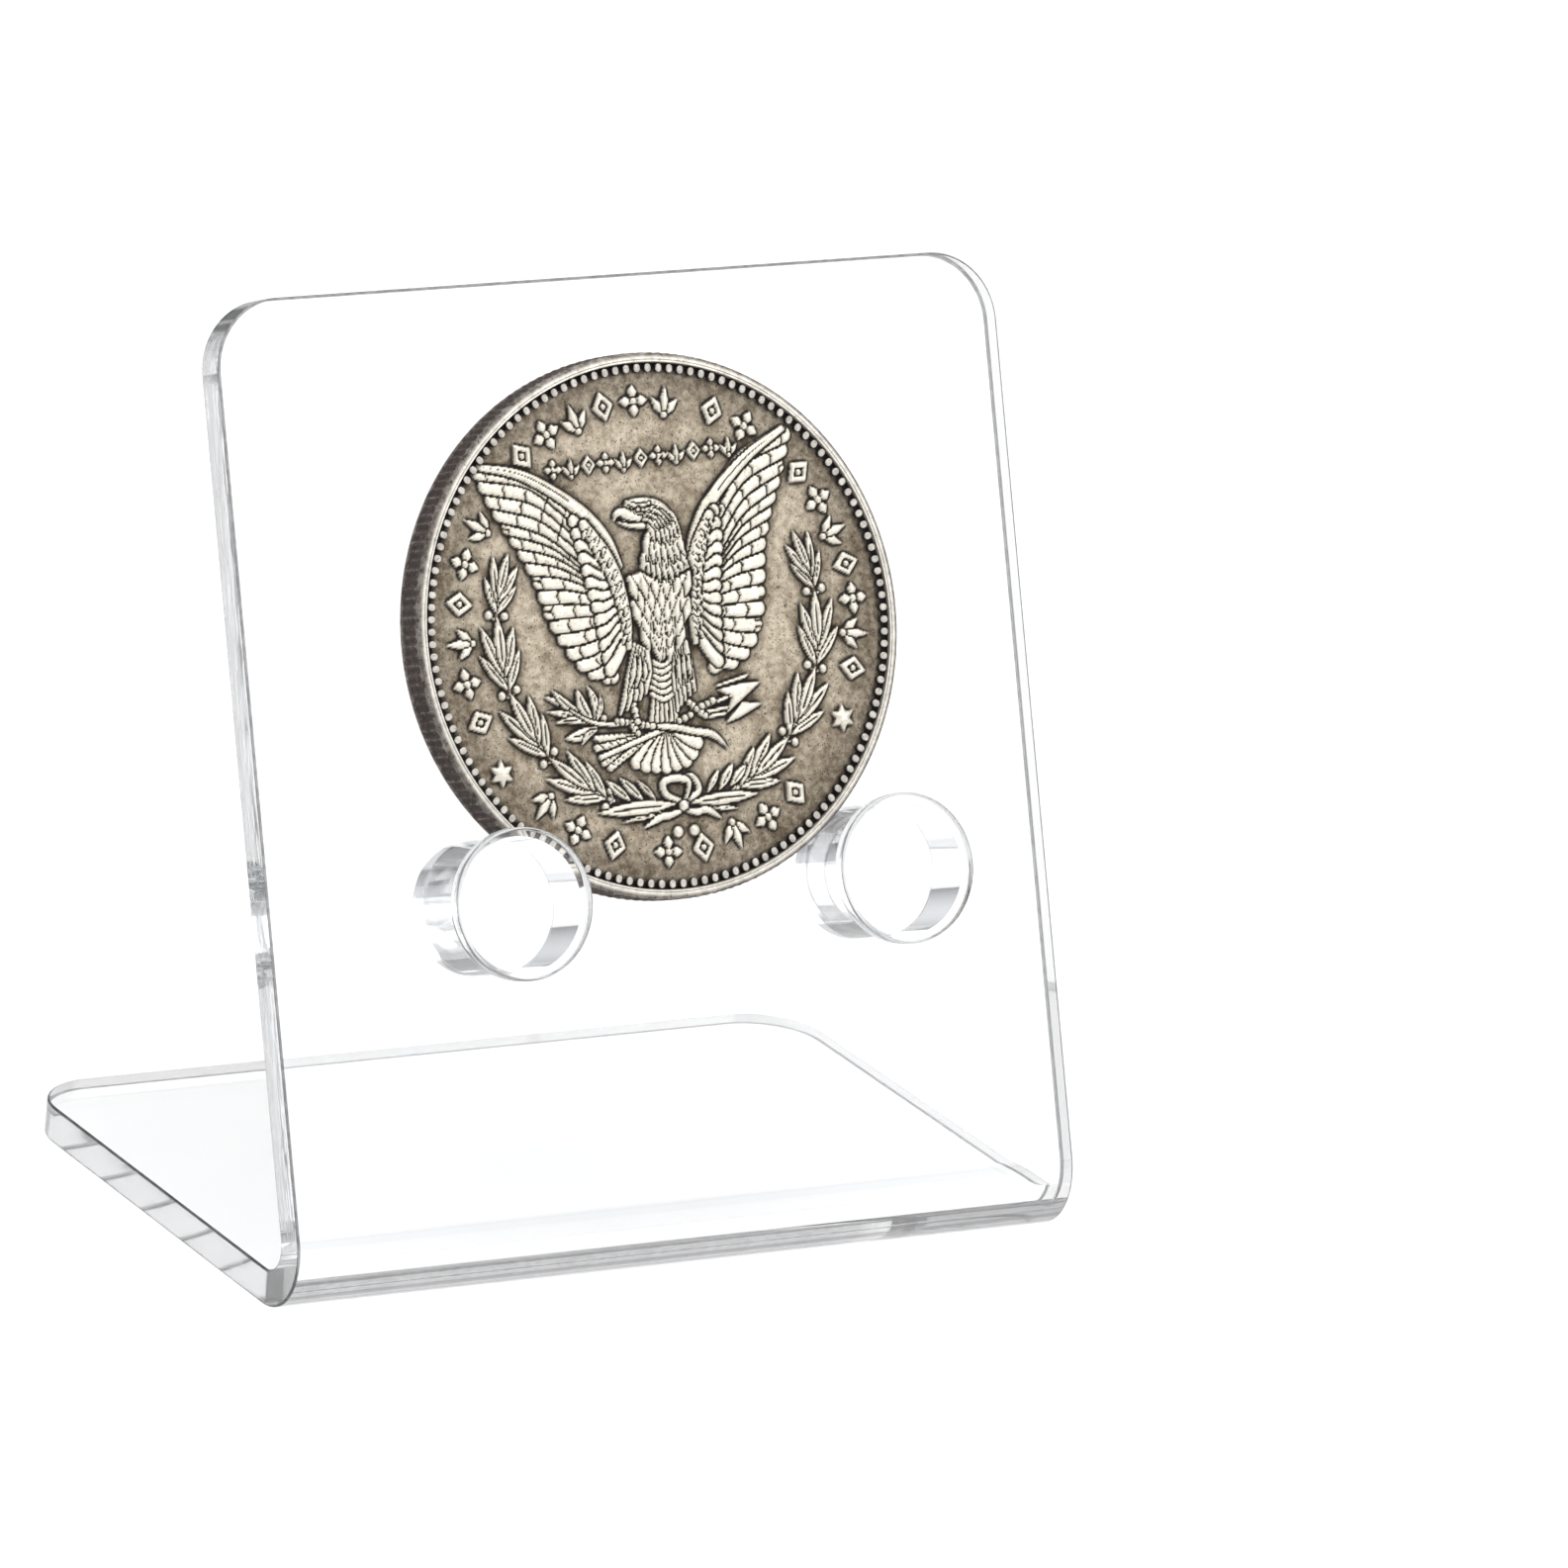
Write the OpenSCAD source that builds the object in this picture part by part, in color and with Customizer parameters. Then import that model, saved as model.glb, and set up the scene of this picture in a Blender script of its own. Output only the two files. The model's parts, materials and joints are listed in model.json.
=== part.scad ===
// Clear acrylic display stand for a coin.
// The stand is a strip of acrylic sheet, bent once while hot into a leaning panel and a flat foot
// that runs back under it. Headed acrylic pegs, cemented to the panel's front face, cradle the coin's
// edge, and their heads keep it from sliding forwards. The coin lifts out up the panel's face.
//
// +X is the stand's right seen from the front, +Y runs back, +Z is up. The foot's underside is z = 0.

/* [Sheet] */
// Thickness of the acrylic sheet
sheet_t = 2.6; // [2:0.1:3.2]
// Width of the sheet
panel_w = 62; // [56:1:80]
// Length of the panel up its slope, from the line where its front face meets the floor plane
panel_len = 71.2; // [68:0.2:90]
// Angle that the panel leans back from upright
lean = 21.4; // [15:0.2:28]
// Length of the foot, from the same line to its back edge
foot_len = 44; // [38:0.5:60]
// Radius of the free corners of the panel and the foot
corner_r = 5; // [2:0.5:8]
// Outside radius of the bend
bend_r = 4.6; // [4:0.1:6]

/* [Pegs] */
// Distance between the two peg axes
peg_span = 30.4; // [26:0.2:34]
// Height of the peg axes up the panel's slope
peg_height = 28.2; // [22:0.2:34]
// Diameter of the barrel that the coin rests on
peg_d = 9.4; // [8:0.1:10]
// Diameter of the head that keeps the coin in
peg_head_d = 10.6; // [10.2:0.1:12]
// Length of the whole peg
peg_len = 7.8; // [7:0.1:10]
// Thickness of the head
peg_head_t = 1.2; // [0.8:0.1:2]
// Chamfer round the head's front and back edges
peg_chamfer = 0.15; // [0.1:0.05:0.3]
// Thickness of the cement film under each peg
bond_t = 0.1; // [0.05:0.05:0.2]

/* [Coin] */
// Diameter over the reeded edge
coin_d = 38.1; // [36:0.1:40]
// Thickness over the rims
coin_t = 3; // [2.2:0.1:3.2]
// Number of reeds round the edge
reed_count = 180; // [120:2:220]
// Depth of the reeding
reed_depth = 0.16; // [0.1:0.02:0.24]
// Width of the raised rim
rim_w = 0.8; // [0.6:0.1:1.2]
// Depth of the field below the rim
field_depth = 0.45; // [0.35:0.05:0.5]
// Number of denticles inside the rim
denticle_count = 120; // [80:4:150]
// Height of the struck relief above the field
relief_h = 0.3; // [0.2:0.05:0.35]

/* [Hidden] */
$fn = 96;

// Clearance that the coin keeps to the panel and to the barrels
coin_gap = 0.05;
coin_r = coin_d / 2;
// The sheet's arcs bulge this far past the flats that they meet, so that no sliver is left between them
hair = 0.002;
// Run from the line where the outer faces would meet to the tangent points of the bend
bend_run = bend_r / tan((90 - lean) / 2);
// The coin settles where its edge touches both barrels
coin_height = peg_height + sqrt(pow(coin_r + peg_d / 2 + coin_gap, 2) - pow(peg_span / 2, 2));

// Where a point lies back and up from the panel's foot line, at a height up the slope and a stand-off
function back_of(height, off) = height * sin(lean) - off * cos(lean);
function slope_point(height, off) = [back_of(height, off), height * cos(lean) + off * sin(lean)];
peg_tip = bond_t + peg_len;
peg_front = min(back_of(peg_height - peg_head_d / 2 + peg_chamfer, peg_tip),
                back_of(peg_height - peg_head_d / 2, peg_tip - peg_chamfer));
stand_front = min(bend_run - bend_r, peg_front);
// The origin is the centre of the stand's footprint
foot_line = -(stand_front + foot_len) / 2;

// Relief layout, as radii and sizes on the coin's face
denticle_r = coin_r - rim_w - 0.35;
denticle_d = 0.55;
legend_r = 15.6;
wreath_r = 12.4;
leaf_count = 12;
leaf_l = 3.4;
leaf_w = 0.9;
star_r = 1.1;
feather_count = 9;
sun_r = 4;
ray_count = 24;

// Puts children on the panel: x across, y up the slope, z out of the front face
module on_panel() {
    translate([0, foot_line, 0]) rotate([90 - lean, 0, 0]) children();
}

// The sheet's side outline, measured back and up from the panel's foot line
module side_outline() {
    difference() {
        polygon([[foot_len, 0], [0, 0], slope_point(panel_len, 0), slope_point(panel_len, -sheet_t),
                 [foot_len, sheet_t]]);
        // Outside of the bend
        difference() {
            polygon([[-1, -1], [bend_run, -1], [bend_run, 0], [bend_run, bend_r], slope_point(bend_run, 0),
                     slope_point(bend_run, 1)]);
            translate([bend_run, bend_r]) circle(bend_r + hair);
        }
        // Inside of the bend, and the open wedge between the legs
        translate([bend_run, bend_r]) circle(bend_r - sheet_t + hair);
        polygon([[bend_run, sheet_t], [foot_len + 1, sheet_t], slope_point(panel_len + 1, -sheet_t),
                 slope_point(bend_run, -sheet_t)]);
    }
}

// What a rounded free corner takes off, at both ends of a leg that is reach long
module corner_cuts(reach) {
    for (side = [0, 1]) mirror([side, 0, 0])
        translate([panel_w / 2 - corner_r, reach - corner_r, -sheet_t]) linear_extrude(3 * sheet_t)
            difference() {
                square(corner_r + 1);
                circle(corner_r + hair);
            }
}

module bent_sheet() {
    color("azure") difference() {
        translate([-panel_w / 2, foot_line, 0]) rotate([90, 0, 90])
            linear_extrude(panel_w) side_outline();
        translate([0, foot_line, 0]) corner_cuts(foot_len);
        on_panel() translate([0, 0, -sheet_t]) corner_cuts(panel_len);
    }
}

// One turned peg, standing on the panel at side * peg_span / 2
module peg(side) {
    head_r = peg_head_d / 2;
    neck = peg_len - peg_head_t;
    color("white")
    on_panel() translate([side * peg_span / 2, peg_height, bond_t])
        rotate_extrude()
        polygon([[0, 0], [peg_d / 2, 0], [peg_d / 2, neck], [head_r - peg_chamfer, neck],
                 [head_r, neck + peg_chamfer], [head_r, peg_len - peg_chamfer],
                 [head_r - peg_chamfer, peg_len], [0, peg_len]]);
}

// The film of clear cement under a peg
module peg_bond(side) {
    color("whitesmoke")
    on_panel() translate([side * peg_span / 2, peg_height, 0])
        cylinder(d = peg_d, h = bond_t);
}

// A pointed oval, l long and w wide, that grows along +Y from the origin
module vesica(l, w) {
    arc_r = (l * l + w * w) / (4 * w);
    translate([0, l / 2]) intersection() {
        translate([arc_r - w / 2, 0]) circle(arc_r);
        translate([w / 2 - arc_r, 0]) circle(arc_r);
    }
}

module star(points, outer, inner) {
    polygon([for (i = [0 : 2 * points - 1])
        let (r = i % 2 == 0 ? outer : inner, a = 90 + i * 180 / points) [r * cos(a), r * sin(a)]]);
}

// A round blank with ridges round its edge
module reeded_blank() {
    linear_extrude(coin_t)
        polygon([for (i = [0 : 2 * reed_count - 1])
            let (r = coin_r - (i % 2) * reed_depth, a = i * 180 / reed_count) [r * cos(a), r * sin(a)]]);
}

// The row of small studs inside the rim
module denticles() {
    for (i = [0 : denticle_count - 1])
        rotate(i * 360 / denticle_count) translate([denticle_r, 0]) circle(d = denticle_d);
}

// Leaf sprays that climb both sides from the bottom of the coin
module wreath() {
    for (side = [-1, 1], i = [0 : leaf_count - 1])
        rotate(side * (12 + i * 9)) translate([0, -wreath_r + 0.05 * i])
            rotate(side * -90)
            for (splay = [-28, 0, 28]) rotate(splay) vesica(leaf_l, leaf_w);
}

// Small lozenges in the legend band, with a gap for the bird's wing tips
module legend() {
    for (a = [-150 : 15 : 150])
        if (abs(abs(a) - 45) > 8)
            rotate(a) translate([0, legend_r]) rotate(45) square(1.3, center = true);
    for (side = [-1, 1]) rotate(side * 112) translate([0, legend_r]) rotate(180) star(6, star_r, star_r / 2);
}

// One raised wing: a fan of pointed feathers from the shoulder
module wing(side) {
    for (i = [0 : feather_count - 1])
        translate([side * 2, 3]) rotate(side * (-38 - i * 13)) vesica(11.5 - i * 0.65, 2.1);
}

// A generic bird, front on, with raised wings and a spread tail
module bird() {
    for (side = [-1, 1]) {
        wing(side);
        translate([side * 1.2, -4]) rotate(side * 12) square([0.9, 4], center = true);
    }
    translate([0, -4.5]) vesica(9.5, 5.2);
    translate([0, 5.2]) circle(1.6);
    translate([-1.2, 5.2]) rotate(75) vesica(2.2, 1);
    for (a = [-30 : 15 : 30]) translate([0, -2.5]) rotate(180 + a) vesica(5.5, 1.5);
}

// The design on the far side: a plain rayed disc
module sunburst() {
    circle(sun_r);
    for (i = [0 : ray_count - 1])
        rotate(i * 360 / ray_count) translate([0, sun_r + 0.6]) vesica(6 + 2 * (i % 2), 0.9);
}

module coin() {
    field_r = coin_r - rim_w;
    color("darkkhaki")
    on_panel() translate([0, coin_height, coin_gap]) union() {
        difference() {
            reeded_blank();
            translate([0, 0, coin_t - field_depth]) cylinder(r = field_r, h = 1);
            translate([0, 0, field_depth - 1]) cylinder(r = field_r, h = 1);
        }
        translate([0, 0, coin_t - field_depth - 0.1]) linear_extrude(relief_h + 0.1) {
            denticles();
            wreath();
            legend();
            bird();
        }
        translate([0, 0, field_depth - relief_h]) linear_extrude(relief_h + 0.1) {
            denticles();
            sunburst();
        }
    }
}

bent_sheet();
peg(-1);  // left_peg
peg(1);  // right_peg
peg_bond(-1);  // left_peg_bond
peg_bond(1);  // right_peg_bond
coin();
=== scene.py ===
# %% [markdown]
# # A coin on a clear acrylic stand
# The stand is one strip of acrylic, bent while hot into a leaning panel and a flat foot. Two headed
# pegs are cemented to the panel, and a struck silver coin with an antique finish rests on them. The
# CAD model fixes every size and place, so the first step is always to load it and to read from it
# where things are. Everything that is modelled later is put where the CAD piece was.

# %% Load the frame
import json
import math

import bpy
import numpy as np
from mathutils import Matrix, Vector


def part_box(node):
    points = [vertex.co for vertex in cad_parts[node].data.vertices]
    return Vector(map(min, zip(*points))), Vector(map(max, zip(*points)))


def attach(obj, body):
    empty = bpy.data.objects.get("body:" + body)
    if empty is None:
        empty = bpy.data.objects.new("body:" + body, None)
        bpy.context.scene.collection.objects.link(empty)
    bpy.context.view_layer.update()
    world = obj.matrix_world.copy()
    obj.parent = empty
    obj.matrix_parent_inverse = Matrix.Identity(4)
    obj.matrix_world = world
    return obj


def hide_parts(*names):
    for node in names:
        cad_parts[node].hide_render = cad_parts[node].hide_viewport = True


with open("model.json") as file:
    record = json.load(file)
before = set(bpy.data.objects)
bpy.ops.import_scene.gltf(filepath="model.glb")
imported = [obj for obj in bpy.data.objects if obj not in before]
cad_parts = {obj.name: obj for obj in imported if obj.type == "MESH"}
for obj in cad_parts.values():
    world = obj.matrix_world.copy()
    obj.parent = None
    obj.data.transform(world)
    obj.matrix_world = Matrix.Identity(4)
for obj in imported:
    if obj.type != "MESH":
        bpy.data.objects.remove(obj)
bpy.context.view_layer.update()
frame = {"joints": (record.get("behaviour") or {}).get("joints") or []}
mm = 0.001

# %% [markdown]
# The joint that lifts the coin runs straight up the panel's slope, so its axis gives the lean. The
# coin's box gives its centre, and stepping back through half its thickness gives the panel's front
# face. From these comes one matrix, panel_place, which puts anything drawn flat (x across, y up the
# slope, z out of the face) onto the panel.

# %% Find the panel in space
across = Vector((1, 0, 0))
up_slope = Vector(frame["joints"][0]["axis"]).normalized()
outward = across.cross(up_slope)
lean = math.atan2(up_slope.y, up_slope.z)


def middle(node):
    low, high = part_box(node)
    return (low + high) / 2


coin_thickness = 3.0 * mm
coin_gap = 0.05 * mm
coin_centre = middle("coin")
coin_radius = (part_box("coin")[1].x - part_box("coin")[0].x) / 2
on_face = coin_centre - outward * (coin_thickness / 2 + coin_gap)
foot_line = on_face - up_slope * (on_face.z / up_slope.z)
turn = Matrix((across, up_slope, outward)).transposed().to_4x4()
panel_place = Matrix.Translation(foot_line) @ turn
coin_place = Matrix.Translation(coin_centre) @ turn
print(f"lean {math.degrees(lean):.2f} degrees, foot line at y {foot_line.y / mm:.2f} mm")

# %% [markdown]
# The camera looks a little down at the stand from its left, with a long lens, so the sheet's edges
# stay almost parallel. It is rolled a few degrees, which is why the foot seems to rise to the right.

# %% Camera
view_azimuth, view_elevation, view_roll = (math.radians(a) for a in (-31.34, 18.5, 5.735))
aim = Vector((8.71, -12.53, 33.45)) * mm
view_distance = 949.4 * mm
backward = Vector((
    math.sin(view_azimuth) * math.cos(view_elevation),
    -math.cos(view_azimuth) * math.cos(view_elevation),
    math.sin(view_elevation),
))
level = Vector((0, 0, 1)).cross(backward).normalized()
upward = backward.cross(level)
view_turn = Matrix((level, upward, backward)).transposed() @ Matrix.Rotation(view_roll, 3, "Z")
camera_data = bpy.data.cameras.new("camera")
camera_data.lens = 312.8
camera_data.sensor_width = 36
camera_data.clip_end = 20
camera = bpy.data.objects.new("camera", camera_data)
camera.matrix_world = Matrix.Translation(aim + backward * view_distance) @ view_turn.to_4x4()
bpy.context.scene.collection.objects.link(camera)
bpy.context.scene.camera = camera
print("camera at", [round(c, 3) for c in camera.matrix_world.translation])

# %% [markdown]
# The set is a plain white sweep. Its paper has a faint grain, and it lies a hair below the stand, so
# that the clear foot and the floor never share a surface. Glass and acrylic need many bounces: a ray
# that is caught in the sheet's edge turns black if it is stopped too soon.

# %% Floor
scene = bpy.context.scene
scene.view_settings.view_transform = "Standard"
scene.cycles.max_bounces = 40
scene.cycles.transmission_bounces = 40
scene.cycles.glossy_bounces = 40
scene.cycles.transparent_max_bounces = 40


def new_material(name):
    material = bpy.data.materials.new(name)
    material.use_nodes = True
    tree = material.node_tree
    return material, tree, tree.nodes["Principled BSDF"]


def add_node(tree, kind, **settings):
    node = tree.nodes.new(kind)
    for key, value in settings.items():
        setattr(node, key, value)
    return node


def noise(tree, size, detail=2.0, roughness=0.55, place=None):
    """Soft noise with blobs of about this size, on the object's own coordinates unless a place is given."""
    node = add_node(tree, "ShaderNodeTexNoise")
    node.inputs["Scale"].default_value = 1 / size
    node.inputs["Detail"].default_value = detail
    node.inputs["Roughness"].default_value = roughness
    tree.links.new(place or add_node(tree, "ShaderNodeTexCoord").outputs["Object"], node.inputs["Vector"])
    return node.outputs["Fac"]


bpy.ops.mesh.primitive_plane_add(size=6, location=(0, 0, -0.02 * mm))
floor = bpy.context.object
floor.name = "floor"
paper, paper_tree, paper_shader = new_material("white_sweep")
paper_grain = noise(paper_tree, 6.7 * mm, 2, 0.5)
paper_range = add_node(paper_tree, "ShaderNodeMapRange")
paper_range.inputs["To Min"].default_value = 0.86
paper_range.inputs["To Max"].default_value = 0.9
paper_tree.links.new(paper_grain, paper_range.inputs["Value"])
paper_tree.links.new(paper_range.outputs["Result"], paper_shader.inputs["Base Color"])
paper_shader.inputs["Roughness"].default_value = 0.9
floor.data.materials.append(paper)
print("floor", [round(size, 2) for size in floor.dimensions], "m")

# %% [markdown]
# Large soft lamps light it. Clear acrylic has no colour of its own: what draws its edges is what they
# bend into view. So the surroundings are white where the floor and the coin need light, and fall off
# to a dark grey just above the floor, as a room does beyond a studio's light tent. That grey is what
# shows as the thin lines along the bend and in the pegs.

# %% Lamps and surroundings
def soft_lamp(name, place, size, watts):
    lamp_data = bpy.data.lights.new(name, "AREA")
    lamp_data.shape = "RECTANGLE"
    lamp_data.size, lamp_data.size_y = size
    lamp_data.energy = watts
    lamp = bpy.data.objects.new(name, lamp_data)
    place = Vector(place)
    lamp.matrix_world = Matrix.Translation(place) @ place.to_track_quat("Z", "Y").to_matrix().to_4x4()
    scene.collection.objects.link(lamp)
    return lamp


soft_lamp("overhead_lamp", (0.1, 0.1, 1.3), (1.6, 1.6), 12)
soft_lamp("front_lamp", (0.75, -1.1, 0.75), (0.9, 0.9), 4)

world = bpy.data.worlds.new("light_tent")
world.use_nodes = True
scene.world = world
sky = world.node_tree
sky_place = add_node(sky, "ShaderNodeTexCoord")
sky_split = add_node(sky, "ShaderNodeSeparateXYZ")
sky_ramp = add_node(sky, "ShaderNodeValToRGB")
sky.links.new(sky_place.outputs["Generated"], sky_split.inputs[0])
sky.links.new(sky_split.outputs["Z"], sky_ramp.inputs["Fac"])
stops = sky_ramp.color_ramp.elements
stops[0].position, stops[0].color = 0.0, (0.25, 0.25, 0.26, 1)
stops[1].position, stops[1].color = 1.0, (1, 1, 1, 1)
middle_stop = stops.new(0.16)
middle_stop.color = (0.9, 0.91, 0.93, 1)
sky.links.new(sky_ramp.outputs["Color"], sky.nodes["Background"].inputs["Color"])
sky.nodes["Background"].inputs["Strength"].default_value = 0.85

# %% [markdown]
# ## Clear acrylic
# Materials here are built from nodes in code. A group is a set of nodes with named inputs and outputs
# that several materials can use. These helpers make a group, place it, and write sums between nodes
# in one line each.

# %% Helpers for shader nodes
def new_group(name, inputs, outputs):
    group = bpy.data.node_groups.new(name, "ShaderNodeTree")
    for label, kind, value in inputs:
        socket = group.interface.new_socket(label, in_out="INPUT", socket_type=kind)
        if value is not None:
            socket.default_value = value
    for label, kind in outputs:
        group.interface.new_socket(label, in_out="OUTPUT", socket_type=kind)
    return group, group.nodes.new("NodeGroupInput"), group.nodes.new("NodeGroupOutput")


def use_group(tree, group, **values):
    node = tree.nodes.new("ShaderNodeGroup")
    node.node_tree = group
    for key, value in values.items():
        node.inputs[key].default_value = value
    return node


def maths(tree, operation, first, second=None, clamp=False):
    node = add_node(tree, "ShaderNodeMath", operation=operation, use_clamp=clamp)
    for socket, value in zip(node.inputs, (first, second)):
        if isinstance(value, bpy.types.NodeSocket):
            tree.links.new(value, socket)
        elif value is not None:
            socket.default_value = value
    return node.outputs[0]


def plus(tree, first, second):
    return maths(tree, "ADD", first, second)


def minus(tree, first, second, clamp=False):
    return maths(tree, "SUBTRACT", first, second, clamp)


def times(tree, first, second, clamp=False):
    return maths(tree, "MULTIPLY", first, second, clamp)


def remap(tree, value, low, high, to_low=0.0, to_high=1.0):
    node = add_node(tree, "ShaderNodeMapRange", interpolation_type="SMOOTHSTEP")
    for label, number in zip(("From Min", "From Max", "To Min", "To Max"), (low, high, to_low, to_high)):
        node.inputs[label].default_value = number
    tree.links.new(value, node.inputs["Value"])
    return node.outputs["Result"]


print("node helpers ready")

# %% [markdown]
# Cast acrylic bends light a little less than window glass. It is never perfect: handling leaves a
# haze of hairline scratches and a few soft smudges. One shader group makes that wear, and the sheet,
# the pegs and the cement each use it at their own strength. A scratch is noise drawn out very long
# one way.

# %% Wear that all the clear pieces share
wear_group, wear_in, wear_out = new_group(
    "handling_wear",
    [
        ("Scratches", "NodeSocketFloat", 0.5),
        ("Smudges", "NodeSocketFloat", 0.5),
        ("Gloss", "NodeSocketFloat", 0.02),
    ],
    [("Roughness", "NodeSocketFloat"), ("Height", "NodeSocketFloat")],
)
wear_place = wear_group.nodes.new("ShaderNodeTexCoord")
hairlines = []
for angle, stretch in ((25, 2600), (-48, 2100), (80, 3100)):
    turned = add_node(wear_group, "ShaderNodeMapping")
    turned.inputs["Rotation"].default_value = (math.radians(angle), math.radians(20), math.radians(angle))
    turned.inputs["Scale"].default_value = (stretch, 90, 130)
    wear_group.links.new(wear_place.outputs["Object"], turned.inputs["Vector"])
    streaks = noise(wear_group, 1, 1, 0.5, turned.outputs["Vector"])
    hairlines.append(remap(wear_group, streaks, 0.68, 0.76))
all_hairlines = maths(wear_group, "MAXIMUM", maths(wear_group, "MAXIMUM", *hairlines[:2]), hairlines[2])
scratch_depth = times(wear_group, all_hairlines, wear_in.outputs["Scratches"])
prints = remap(wear_group, noise(wear_group, 14.3 * mm, 3, 0.5), 0.5, 0.7)
smudge = times(wear_group, prints, wear_in.outputs["Smudges"])
dulled = plus(wear_group, times(wear_group, smudge, 0.03), times(wear_group, scratch_depth, 0.08))
wear_group.links.new(plus(wear_group, dulled, wear_in.outputs["Gloss"]), wear_out.inputs["Roughness"])
wear_group.links.new(times(wear_group, scratch_depth, -1.0), wear_out.inputs["Height"])
print("shared wear group has", len(wear_group.nodes), "nodes")

# %% [markdown]
# A cut edge is a second effect that the sheet and the pegs share. A saw leaves fine grooves in it, and
# polishing leaves it a little uneven. Its colour is partly a faint frosting of the cut and partly painted
# shade. It is painted pale grey where the edge is cut and near black where it is cut most. This stands for
# the grey bands and dark lines that a clear edge shows from the darker surroundings it bends into view. Each
# piece has a number on its faces for how much it is cut and shaded. This group turns that number into a tone
# with painted shade, a dullness and a height.

# %% Cut edges that the sheet and the pegs share
def mixed(tree, share, first, second):
    node = add_node(tree, "ShaderNodeMix", data_type="RGBA")
    for socket, value in zip((node.inputs[0], node.inputs[6], node.inputs[7]), (share, first, second)):
        if isinstance(value, bpy.types.NodeSocket):
            tree.links.new(value, socket)
        else:
            socket.default_value = value
    return node.outputs[2]


sawn_and_shade_group, sawn_in, sawn_out = new_group(
    "sawn_edge_and_shade",
    [("Cut", "NodeSocketFloat", 0.0), ("Tint", "NodeSocketColor", None)],
    [("Tone", "NodeSocketColor"), ("Dullness", "NodeSocketFloat"), ("Height", "NodeSocketFloat")],
)
cut_amount = sawn_in.outputs["Cut"]
polish = remap(sawn_and_shade_group, noise(sawn_and_shade_group, 0.56 * mm, 1, 0.5), 0.42, 0.6, -0.08, 0.04)
uneven = plus(sawn_and_shade_group, cut_amount, polish)
# Painted shade: the more a face is cut, the more it is painted pale grey, and the rounded edges, which are
# cut most, are painted near black.
frosted_and_shaded_share = times(sawn_and_shade_group, minus(sawn_and_shade_group, uneven, 0.1), 1 / 0.4, True)
painted_edge_shade = times(sawn_and_shade_group, minus(sawn_and_shade_group, uneven, 0.5), 1 / 0.5, True)
edge_tone_and_shade = mixed(sawn_and_shade_group, frosted_and_shaded_share, sawn_in.outputs["Tint"], (0.86, 0.865, 0.875, 1))
edge_tone_and_shade = mixed(sawn_and_shade_group, painted_edge_shade, edge_tone_and_shade, (0.08, 0.082, 0.086, 1))
sawn_and_shade_group.links.new(edge_tone_and_shade, sawn_out.inputs["Tone"])
sawn_and_shade_group.links.new(times(sawn_and_shade_group, cut_amount, 0.06), sawn_out.inputs["Dullness"])
drawn_out = add_node(sawn_and_shade_group, "ShaderNodeMapping")
drawn_out.inputs["Scale"].default_value = (90, 90, 2200)
sawn_place = sawn_and_shade_group.nodes.new("ShaderNodeTexCoord")
sawn_and_shade_group.links.new(sawn_place.outputs["Object"], drawn_out.inputs["Vector"])
saw_lines = noise(sawn_and_shade_group, 1, 2, 0.5, drawn_out.outputs["Vector"])
groove_height = times(sawn_and_shade_group, times(sawn_and_shade_group, saw_lines, cut_amount), 1.2)
sawn_and_shade_group.links.new(groove_height, sawn_out.inputs["Height"])
print("shared cut edge group has", len(sawn_and_shade_group.nodes), "nodes")

# %% [markdown]
# The light paths decide how a clear piece shades the others. Shadow rays, and the rays that carry light from
# one matt surface to the next, pass straight through, since a clear stand on white paper hardly has a shadow.
# A camera ray bends as in real acrylic. Wherever it meets a cut edge, part of it is sent through a dark
# see-through layer that only camera rays get, which is painted shade on the cut edges.

# %% Clear acrylic and cement
# How much of a fully cut face the camera sees as painted shade.
painted_cut_shade = 0.52


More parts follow.
